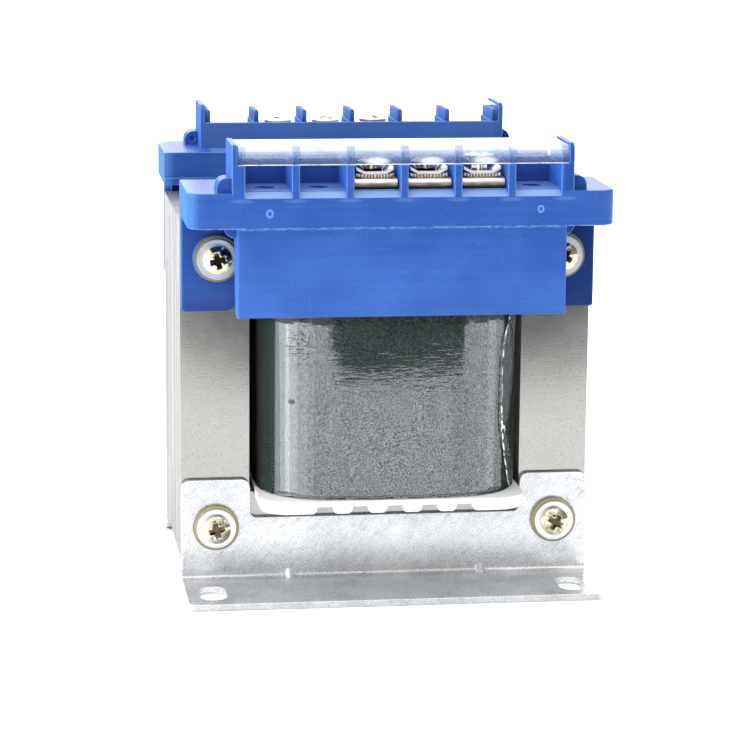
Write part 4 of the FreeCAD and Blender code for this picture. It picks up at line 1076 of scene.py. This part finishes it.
# %% [markdown]
# ## Loose end of the film
# The wrap ends in front of the right window. Its end isn't stuck down: it hangs in a narrow flap that is tied
# off once, so it has the outline of an hourglass, with a rolled edge that catches the light.
# The flap follows the round corner of the coil. A row is given by its height in millimetres, the two angles
# round the corner between which it lies, and how far it stands off. Each is extruded from the one before.

# %% Film end
FILM_OUTSIDE = 0.2 * MM
FLAP_ROWS = [(66.5, 52, 62, 0.30), (62.0, 45.5, 59, 0.35), (58.5, 41.5, 57, 0.40), (48.0, 40.5, 56, 0.40),
             (41.0, 41, 50, 0.45), (38.2, 42, 44.5, 0.55), (35.0, 43.5, 50, 0.45), (31.0, 47, 58, 0.40),
             (26.5, 52, 66, 0.30), (23.6, 57, 70, 0.25)]
FLAP_CELLS = 6
FLAP_ROLL = 0.17 * MM
ROLL_SWELL = (0.6, 1.3)
KNOT_SIZE = Vector((0.55, 0.45, 0.8)) * MM
KNOT_ROW = 5
KNOT_LUMPS = 1.7
LUMP_HEIGHT = 0.35


def round_corner(angle, height, standoff):
    """A place off the film at the right corner: degrees from straight ahead, height and distance in mm."""
    lean = (height * MM - COIL_FOOT) * math.tan(FILM_LEAN)
    reach = CORNER_RADIUS + FILM_OUTSIDE + lean + standoff * MM
    return (CORNER_CENTRE + facing(angle) * reach).to_3d() + Vector((0, 0, height * MM))


def film_flap():
    shape = bmesh.new()
    row = []
    for height, start, end, standoff in FLAP_ROWS:
        angles = [start + (end - start) * i / FLAP_CELLS for i in range(FLAP_CELLS + 1)]
        places = [round_corner(angle, height, standoff) for angle in angles]
        if not row:
            verts = [shape.verts.new(place) for place in places]
            row = [shape.edges.new((a, b)) for a, b in zip(verts, verts[1:])]
            continue
        verts, row = extruded(shape, row)
        verts.sort(key=lambda v: math.atan2(v.co.y - CORNER_CENTRE.y, v.co.x - CORNER_CENTRE.x))
        for vert, place in zip(verts, places):
            vert.co = place
    bmesh.ops.subdivide_edges(shape, edges=shape.edges, cuts=2, smooth=0.5, use_grid_fill=True)
    bmesh.ops.recalc_face_normals(shape, faces=shape.faces)
    return finished(shape, "film_end", "loose_film", [])


def film_roll():
    """The rolled edge: a thin tube along the flap's left side."""
    line = bpy.data.curves.new("film_roll_path", "CURVE")
    line.dimensions = "3D"
    line.bevel_depth = FLAP_ROLL
    line.bevel_resolution = 2
    spline = line.splines.new("NURBS")
    spline.points.add(len(FLAP_ROWS) - 1)
    for point, (height, start, end, standoff) in zip(spline.points, FLAP_ROWS):
        point.co = (*round_corner(start, height, standoff), 1)
        point.radius = rng.uniform(*ROLL_SWELL)
    spline.order_u = 3
    spline.use_endpoint_u = True
    holder = bpy.data.objects.new("film_roll_path", line)
    shape = bmesh.new()
    shape.from_mesh(bpy.data.meshes.new_from_object(holder))
    bpy.data.objects.remove(holder)
    return finished(shape, "film_roll", "film_fold", [])


def film_knot():
    height, start, end, standoff = FLAP_ROWS[KNOT_ROW]
    shape = bmesh.new()
    bmesh.ops.create_icosphere(shape, subdivisions=4, radius=1.0)
    for vert in shape.verts:
        vert.co *= 1 + LUMP_HEIGHT * noise.noise(vert.co * KNOT_LUMPS)
    bmesh.ops.scale(shape, vec=KNOT_SIZE, verts=shape.verts)
    bmesh.ops.translate(shape, vec=round_corner((start + end) / 2, height, standoff), verts=shape.verts)
    return finished(shape, "film_knot", "film_fold", [])


flap = film_flap()
thicken(flap, -1)
for piece in (flap, film_roll(), film_knot()):
    shade_smooth(piece)
    print(piece.name, "faces", len(piece.data.polygons))

# %% [markdown]
# ## Turned and folded metal
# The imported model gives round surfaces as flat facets, which polished metal would show. These nodes are
# copied with their triangles joined, and shaded smooth up to a sharp angle, with normals weighted by area.

# %% Smooth copies
SHARP = math.radians(32)
FLAT = math.radians(0.3)
SMOOTH_NODES = {
    "core_bolts": ("yellow_zinc", "yellow_zinc"),
    "core_nuts": ("yellow_zinc", "yellow_zinc"),
    "flat_washers": ("bright_zinc", "washer_zinc"),
    "insulating_washers": ("insulating_plastic", "washer_amber"),
    "foot_bracket": ("galvanised_steel", "galvanised"),
    "terminal_plates": ("satin_nickel", "terminal_nickel"),
    "clamp_washers": ("clamp_nickel", "terminal_nickel"),
    "terminal_screws": ("bright_screw", "screw_nickel"),
}


def smooth_copy(node, finish):
    shape = mesh_of(node)
    bmesh.ops.remove_doubles(shape, verts=shape.verts, dist=MERGE)
    bmesh.ops.dissolve_limit(shape, angle_limit=FLAT, verts=shape.verts, edges=shape.edges)
    piece = finished(shape, node + "_smooth", finish, [node])
    shade_smooth(piece)
    piece.data.set_sharp_from_angle(angle=SHARP)
    weights = piece.modifiers.new("flat_faces", "WEIGHTED_NORMAL")
    weights.keep_sharp = True


copied = []
for plain, (finish, slot) in SMOOTH_NODES.items():
    for node in (plain, plain + "_front", plain + "_rear"):
        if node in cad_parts:
            smooth_copy(node, finish)
            copied.append(node)
print("smooth copies", copied)

# %% [markdown]
# ## Pieces that keep their solids
# The rest of the transformer keeps the shape of the model, and only gets its finish.

# %% Finishes on the nodes
NODE_FINISH = {
    "bobbin": "white_nylon",
    "primary_winding": "copper_wire",
    "winding_barrier": "white_nylon",
    "secondary_winding": "copper_wire",
    "coil_paper": "green_fibre_paper",
    "terminal_block": "blue_moulding",
    "terminal_cover": "clear_cover",
    "solder_tags": "tinned",
    "leads": "copper_wire",
    "bolt_sleeves": "insulating_plastic",
    "spring_washers": "bright_zinc",
}
dressed = []
for name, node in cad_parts.items():
    plain = name.removesuffix("_front").removesuffix("_rear")
    if plain in NODE_FINISH:
        node.data.materials.clear()
        node.data.materials.append(finishes[NODE_FINISH[plain]])
        dressed.append(name)
print("dressed nodes", dressed)
